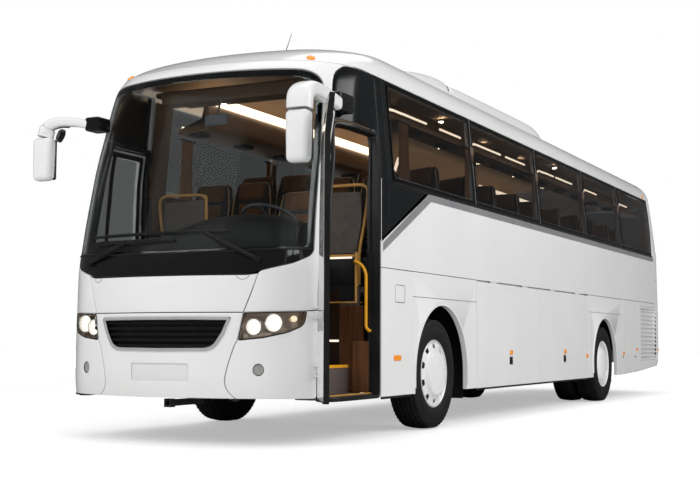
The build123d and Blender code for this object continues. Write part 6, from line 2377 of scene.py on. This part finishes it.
# ---------------------------------------------------------------- cabin
@dataclass
class Entrance:
    """Step edges, boards, lights, rails and the screen behind the left doorway.

    Attributes:
        edges: (y, z) of each step's nose.
        span: Rear and front end of the steps.
        hand: (y, z) along the hand rail.
        frame: (y, z) along the bent rail round the screen.
    """

    edges: tuple[tuple[float, float], ...] = ((1.215, 0.385), (0.985, 0.620), (0.765, 0.830))
    span: tuple[float, float] = (1.335, 2.205)
    hand: tuple[tuple[float, float], ...] = (
        (1.060, 1.517), (1.085, 1.506), (1.125, 1.475), (1.155, 1.420), (1.161, 1.340),
        (1.161, 1.000), (1.164, 0.948), (1.188, 0.918))
    frame: tuple[tuple[float, float], ...] = (
        (0.58, 1.32), (0.58, 2.10), (0.61, 2.180), (0.68, 2.200), (1.00, 2.205), (1.080, 2.190),
        (1.112, 2.130), (1.085, 1.90), (1.030, 1.60), (1.030, 1.32))

    def build(self) -> None:
        """Make every piece of the entrance, on both sides where it can be."""
        a, b = self.span
        noses = [rounded_block((a, y - 0.045, z - 0.022), (end, y + reach, z + 0.005), 0.004)
                 for (y, z), end, reach in zip(self.edges, (2.08, b), (-0.008, 0.004))]
        publish("step_noses", both(joined(noses)), RAIL)
        lights = [rounded_block((1.334, 0.765, 0.820), (1.345, 0.893, 0.838), 0.003),
                  rounded_block((1.222, 0.749, 1.552), (1.234, 0.965, 1.568), 0.003)]
        publish("step_lights", both(joined(lights)), STEP_LIGHT)
        board = rounded_block((1.322, 0.892, 0.40), (1.334, 1.130, 1.135), 0.003)
        publish("stairwell_boards", both(board), WOOD)
        board = rounded_block((1.332, 1.030, 0.388), (1.343, 1.183, 0.828), 0.003)
        publish("stairwell_kick_boards", both(board), WOOD_LIGHT)
        # The inner wall board behind the steps is painted shade: it continues the wall board above
        # in the darker wood. The riser blocks take the same dark tone.
        dark = [rounded_block((1.322, 0.525, 0.40), (1.330, 0.892, 1.27), 0.002)]
        dark += [rounded_block((a, y - 0.012, z0 + 0.006), (b, y - 0.002, z1 - 0.024), 0.002)
                 for (y, z1), z0 in zip(self.edges[1:], (0.385, 0.620))]
        publish("stairwell_risers", both(joined(dark)), WOOD_DARK)
        x = self.span[0] + 0.012
        hand = bar([(x, y, z) for y, z in self.hand], 60, 0.0140, 16, up=(1.0, 0.0, 0.0))
        feet = [rounded_block((1.300, 1.045, 1.503), (x + 0.010, 1.066, 1.531), 0.006),
                rounded_block((1.300, 1.178, 0.906), (x + 0.010, 1.198, 0.930), 0.006)]
        publish("hand_rail_left", joined([hand] + feet), RAIL, stands_for=("hand_rails",))
        edge = [(0.60, 1.60), (1.000, 1.60), (1.054, 1.89), (1.043, 2.14), (0.60, 2.15)]
        screen = upright(1.200, 0.022, filleted([(y, z, 0.03) for y, z in edge]))
        publish("modesty_panels", both(screen), SCREEN_CLOTH)
        rails = [bar([(1.211, y, z) for y, z in self.frame], 90, 0.014, 14, up=(1.0, 0.0, 0.0)),
                 rounded_block((1.200, 0.58, 1.565), (1.222, 1.03, 1.592), 0.006),
                 rounded_block((1.200, 0.735, 1.157), (1.336, 1.062, 1.170), 0.004),
                 rounded_block((1.290, 1.046, 1.165), (1.336, 1.062, 1.60), 0.004)]
        publish("modesty_rails", both(joined(rails)), BRASS)
        back = rounded_block((1.180, 0.58, 1.305), (1.192, 1.16, 1.56), 0.003)
        niche = rounded_block((1.300, 0.60, 1.170), (1.325, 1.046, 1.302), 0.003)
        publish("modesty_backs", both(joined([back, niche])), SEAM_BLACK)


def upright(x: float, thickness: float, outline: Array) -> Form:
    """A flat plate across the coach.

    Args:
        x: Of its rear face.
        thickness: Forwards from there.
        outline: Its edge, as (y, z).

    Returns:
        The closed form.
    """
    flat, triangles, loops = trimmed(outline, [], 0.08)
    count = len(flat)
    sides = [np.column_stack([np.full(count, x + k * thickness), flat]) for k in (0, 1)]
    edge = loops[0]
    wall = np.stack([edge, np.roll(edge, -1), np.roll(edge, -1) + count, edge + count], axis=1)
    return Form(np.vstack(sides), [triangles, triangles[:, ::-1] + count, wall])


def crowned(low: Sequence[float], high: Sequence[float], radius: float, crown: float,
            spare: int = 6, channels: int = 0) -> Form:
    """A stuffed pad: a rolled box whose broad faces swell, with stitched channels.

    The thin axis grows by crown (1 - u^2)(1 - v^2), and by three fifths less of that along
    each channel, with u and v from -1 to 1 over the broad face.

    Args:
        low: Lowest corner.
        high: Highest corner.
        radius: Of the rolled edges.
        crown: How far the middle swells on each side.
        spare: Spans across each face.
        channels: Stitched grooves that cross the longer side.

    Returns:
        The closed form.
    """
    form = rounded_block(low, high, radius, 2, spare)
    lo, hi = np.asarray(low, float), np.asarray(high, float)
    thin = int(np.argmin(hi - lo))
    i, j = (k for k in range(3) if k != thin)
    share = (form.points - (lo + hi) / 2) / ((hi - lo) / 2)
    u, v = share[:, i], share[:, j]
    swell = crown * np.clip(1 - u * u, 0, 1) * np.clip(1 - v * v, 0, 1)
    if channels:
        swell = swell * (1 - 0.6 * np.abs(np.cos(math.pi * channels * (v + 1) / 2)) ** 8)
    form.points[:, thin] += share[:, thin] * swell
    return form


@dataclass
class Seats:
    """Paired passenger seats and the driver's seat, upholstered in two cloths with piping.

    Attributes:
        first: X of the front row.
        pitch: From row to row.
        rows: Rows of seats.
        places: Y of the middles of the seats on the left.
        lean: How far a backrest leans, in degrees.
        low_back: Height of the backrests in the front row.
        tall_back: Height of the others.
        fill: How full the pads are; not used.
        driver: How far the driver's seat lies from a passenger's.
    """

    first: float = 1.010
    pitch: float = 0.830
    rows: int = 11
    places: tuple[float, float] = (0.462, 0.938)
    lean: float = 10.0
    low_back: float = 0.69
    tall_back: float = 0.88
    fill: float = 0.85
    driver: tuple[float, float, float] = (1.630, 0.42, -0.205)

    def upholstered(self, name: str, form: Form, word: str, node: str) -> None:
        """Publish one part of the seats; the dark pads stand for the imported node.

        Args:
            name: Of the object.
            form: Its points and faces.
            word: Which part of a seat it is.
            node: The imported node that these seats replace, if any.
        """
        looks = {"dark": FABRIC_DARK, "brown": FABRIC, "piping": PIPING, "hard": PLASTIC}
        made = publish(name, form, looks[word])
        if word == "dark" and node:
            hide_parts(node)

    def back_turn(self) -> Matrix:
        """Places an upright backrest on its cushion, leaning back."""
        return Matrix.Translation((-0.385, 0.0, 1.705)) @ Matrix.Rotation(
            -math.radians(self.lean), 4, "Y")

    def pads(self, height: float) -> dict[str, Form]:
        """The pads of one seat, about Y = 0 with the floor as for the passengers.

        Args:
            height: Of the backrest.

        Returns:
            Dark pads, brown pads, piping and hard parts by name.
        """
        turn = self.back_turn()
        back = crowned((-0.052, -0.220, 0.0), (0.052, 0.220, height), 0.045, 0.012, 7)
        taper = np.clip((back.points[:, 2] - height + 0.23) / 0.23, 0, 1)
        back.points[:, 1] *= 1 - 0.16 * taper ** 2
        cushion = crowned((-0.425, -0.225, 1.660), (0.030, 0.225, 1.775), 0.045, 0.012, 6)
        insert = crowned((0.030, -0.135, 0.05), (0.066, 0.135, height - 0.22), 0.016, 0.014, 7, 3)
        head = crowned((0.026, -0.150, height - 0.19), (0.074, 0.150, height - 0.015), 0.022,
                       0.012, 5)
        seat = crowned((-0.395, -0.150, 1.760), (0.010, 0.150, 1.790), 0.013, 0.012, 6, 2)
        line = filleted([(-0.214, 0.02, 0.03), (0.214, 0.02, 0.03), (0.214, height - 0.23, 0.05),
                         (0.178, height - 0.014, 0.06), (-0.178, height - 0.014, 0.06),
                         (-0.214, height - 0.23, 0.05)], 4)
        edge = np.column_stack([np.full(len(line), 0.040), line])
        rim = tube(edge, 0.0055, 6, up=(1.0, 0.0, 0.0), wrap=True)
        front = filleted([(-0.40, -0.222, 0.03), (0.024, -0.222, 0.04), (0.024, 0.222, 0.04),
                          (-0.40, 0.222, 0.03)], 4)
        low = tube(np.column_stack([front, np.full(len(front), 1.757)]), 0.005, 6, wrap=True)
        hard = [rounded_block((-0.36, -0.030, 1.302), (-0.10, 0.030, 1.66), 0.012, 2),
                rounded_block((-0.40, -0.215, 1.628), (0.0, 0.215, 1.664), 0.012, 2)]
        return {"dark": joined([back.turned(turn), cushion]),
                "brown": joined([insert.turned(turn), head.turned(turn), seat]),
                "piping": joined([rim.turned(turn), low]), "hard": joined(hard)}

    def build(self) -> None:
        """Make the seats of both sides and the driver's seat."""
        one, tall = self.pads(self.low_back), self.pads(self.tall_back)
        rows = self.first - self.pitch * np.arange(self.rows)
        arm = rounded_block((-0.36, -0.020, 1.885), (-0.02, 0.020, 1.925), 0.014, 2)
        for side in Side:
            for word, form in one.items():
                pieces = [(form if k == 0 else tall[word]).moved((x, y, 0.0))
                          for k, x in enumerate(rows) for y in self.places]
                if word == "hard":
                    pieces += [arm.moved((x, 0.235, 0.0)) for x in rows]
                self.upholstered(f"seat_{word}_{side.name.lower()}", joined(pieces).on(side),
                                 word, "seats" if side is Side.LEFT else "")
        for word, form in one.items():
            self.upholstered(f"driver_seat_{word}", form.moved(self.driver), word,
                             "driver_seat")
        foot = rounded_block((1.24, 0.24, 1.062), (1.58, 0.60, 1.40), 0.03, 3)
        publish("driver_seat_base", foot, PLASTIC)


@dataclass
class Curtains:
    """Brown curtains drawn together at the uprights between the panes.

    Attributes:
        middles: X of each curtain.
        half: Half width once gathered.
        span: Lower and upper end.
        fold: Half depth of the folds.
        folds: Folds across a curtain.
    """

    middles: tuple[float, ...] = (-7.210, -5.310, -3.260, -1.030, 0.640)
    half: float = 0.115
    span: tuple[float, float] = (2.190, 2.830)
    fold: float = 0.012
    folds: int = 6

    def build(self) -> None:
        """Make every curtain and its rail.

        With s across a curtain and d down it, both from 0 to 1, y is 1.196 + 0.012 d
        + fold (0.55 + 0.45 sqrt d) sin(2 pi folds s), so the folds are pinched at the top.
        """
        s = np.linspace(0, 1, self.folds * 12 + 1)
        z = np.linspace(self.span[1], self.span[0], 20)
        drop = (self.span[1] - z) / (self.span[1] - self.span[0])
        depth = self.fold * (0.55 + 0.45 * np.sqrt(drop))
        wave = np.sin(2 * math.pi * self.folds * s)
        lag = 0.010 * np.sin(5 * drop)[:, None] * np.cos(9 * s)[None]
        grids = []
        for middle in self.middles:
            x = middle + self.half * (2 * s[None] - 1) * (0.9 + 0.1 * drop[:, None]) + lag
            y = 1.196 + 0.012 * drop[:, None] + depth[:, None] * wave[None]
            grids.append(np.stack(np.broadcast_arrays(x, y, z[:, None]), axis=-1))
        rails = [rounded_block((m - 0.13, 1.176, 2.832), (m + 0.13, 1.214, 2.848), 0.005)
                 for m in self.middles]
        rail = publish("curtain_rails", both(joined(rails)), PLASTIC)
        for side in Side:
            for k, grid in enumerate(grids):
                sheet = shell(grid * (1.0, side.value, 1.0), 0.0012)
                made = publish(f"curtain_{side.name.lower()}_{k + 1}", sheet, CURTAIN,
                               sharp=80.0,
                               stands_for=("curtains",) if k == 0 and side is Side.LEFT else ())


@dataclass
class Cabin:
    """Racks with their lights, ceiling fittings, window posts, dash and inner mirror."""

    def build(self) -> None:
        """Make every fixed piece of the cabin."""
        rear, front = JOIN_REAR + 0.16, 0.895
        profile = [(1.128, 2.865), (0.800, 2.890), (0.765, 2.920), (0.758, 2.960),
                   (0.785, 3.125), (0.800, 3.143), (0.815, 3.143), (0.822, 3.125),
                   (0.808, 2.940), (1.126, 2.905)]
        x = np.linspace(rear, front, 24)
        ring = np.array(profile)
        rings = np.stack(np.broadcast_arrays(x[:, None], ring[None, :, 0], ring[None, :, 1]),
                         axis=-1)
        publish("rack_bodies", both(lofted(rings)), RACK, sharp=50.0,
                stands_for=("luggage_racks",))
        runs = ((-0.044, 0.821), (-0.953, -0.378), (-2.198, -1.350), (-3.055, -2.369),
                (-4.216, -3.482), (-5.047, -4.316), (-6.300, -5.500), (-8.100, -7.300))
        slots = [rounded_block((a, 1.130, 2.934), (b, 1.142, 2.954), 0.003) for a, b in runs]
        broad = rounded_block((rear + 0.05, -0.815, 3.150), (front, -0.770, 3.235), 0.008)
        publish("rack_lights", joined([both(joined(slots)), broad]), STRIP_LIGHT)
        units = [rounded_block((x - 0.35, 0.90, 2.846), (x - 0.15, 1.04, 2.884), 0.012, 2)
                 for x in Seats.first - Seats.pitch * np.arange(Seats.rows)]
        publish("reading_units", both(joined(units)), PLASTIC)
        spots = [disc(0.030, 0.010, (x, y, 3.372), (0, 0, -1), 0.003, 20, 0.001)
                 for x in np.arange(-8.4, 0.6, 1.5) for y in (-0.30, 0.30)]
        spots += [disc(0.032, 0.010, (x, y, 3.10), (0, 0, -1), 0.003, 20, 0.001)
                  for x, y in ((0.98, 0.55), (0.98, -0.55))]
        publish("ceiling_spots", joined(spots), DOWNLIGHT)
        self.front_end()
        self.window_posts()

    def front_end(self) -> None:
        """Ceiling panel over the driver, dash shelf, clocks and inner mirror."""
        console = [rounded_block((0.93, -0.98, 3.100), (1.50, 0.98, 3.150), 0.02, 3, 2),
                   rounded_block((1.48, -0.80, 2.985), (1.66, 0.80, 3.115), 0.03, 4, 2)]
        publish("roof_console", joined(console), LINING_DARK)
        glass = rounded_block((2.178, 0.045, 2.640), (2.206, 0.275, 2.735), 0.012, 4, 2)
        stalk = bar(((2.19, 0.16, 2.73), (2.155, 0.16, 2.80), (2.10, 0.16, 2.90)), 14, 0.010, 12,
                    up=(0.0, 1.0, 0.0))
        publish("inner_mirror", joined([glass, stalk]), PLASTIC)
        publish("dash_body", self.dash(), DASH, sharp=50.0, stands_for=("dashboard",))
        clocks = [disc(0.055, 0.008, (2.128, y, 1.680), (-1.0, 0.0, 0.35), 0.002, 32)
                  for y in (0.53, 0.67)]
        publish("clocks", joined(clocks), DARK_PANE)

    def dash(self) -> Form:
        """The dash: a level shelf that swells into a hump before the driver.

        Its height is 1.69 + 0.17 exp(-|(y - 0.50) / 0.62|^3), eased down to the front and rear.

        Returns:
            The closed form.
        """
        y = np.linspace(-1.02, 1.05, 60)
        top = 1.69 + 0.17 * np.exp(-np.abs((y - 0.50) / 0.62) ** 3.0)
        front = np.interp(np.abs(y), (0.0, 0.6, 0.9, 1.05), (2.56, 2.54, 2.47, 2.38))
        profile = ((0.0, 0.0), (0.0, 0.80), (0.02, 0.93), (0.07, 0.985), (0.16, 1.0), (0.35, 1.0),
                   (0.6, 0.97), (0.8, 0.92), (0.93, 0.84), (0.99, 0.72), (1.0, 0.5), (1.0, 0.0))
        rings = []
        for share, rise in profile:
            x = 2.13 + (front - 2.13) * share
            z = 1.08 + (top - 1.08) * rise
            rings.append(np.stack([x, y, z], axis=1))
        return lofted(np.stack(rings, axis=1))

    def window_posts(self) -> None:
        """Lined posts between the panes and the ledge under them."""
        posts = [rounded_block((x - 0.048, 1.172, 2.25), (x + 0.048, 1.226, 2.86), 0.010, 2)
                 for x in DIVIDERS[1:-1]]
        posts.append(rounded_block((-9.30, 1.196, 1.305), (1.272, 1.210, 2.20), 0.004, 2))
        posts.append(panel(SIDE_SKIN, on_side(box_of(1.0, 1.275, 2.19, 3.12)), 0.006, step=0.2,
                           sunk=0.068))
        ledge = rounded_block((JOIN_REAR + 0.08, 1.180, 2.170), (1.02, 1.226, 2.235), 0.012, 2)
        publish("window_posts", both(joined(posts + [ledge])), LINING_DARK)


def assemblies() -> list:
    """The coach's sub-assemblies, outside first."""
    return [Nose(), Roof(), Flanks(), Wheels(), Doors(), Mirrors(), Entrance(), Seats(),
            Curtains(), Cabin()]


# ---------------------------------------------------------------- the whole coach
def main() -> None:
    """Load the frame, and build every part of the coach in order."""
    logging.basicConfig(level=logging.INFO, format="%(name)s %(message)s")
    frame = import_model()
    Carried().dress(frame)
    for assembly in assemblies():
        log.info("building %s", type(assembly).__name__)
        assembly.build()
    Studio().build()


if __name__ == "__main__":
    main()
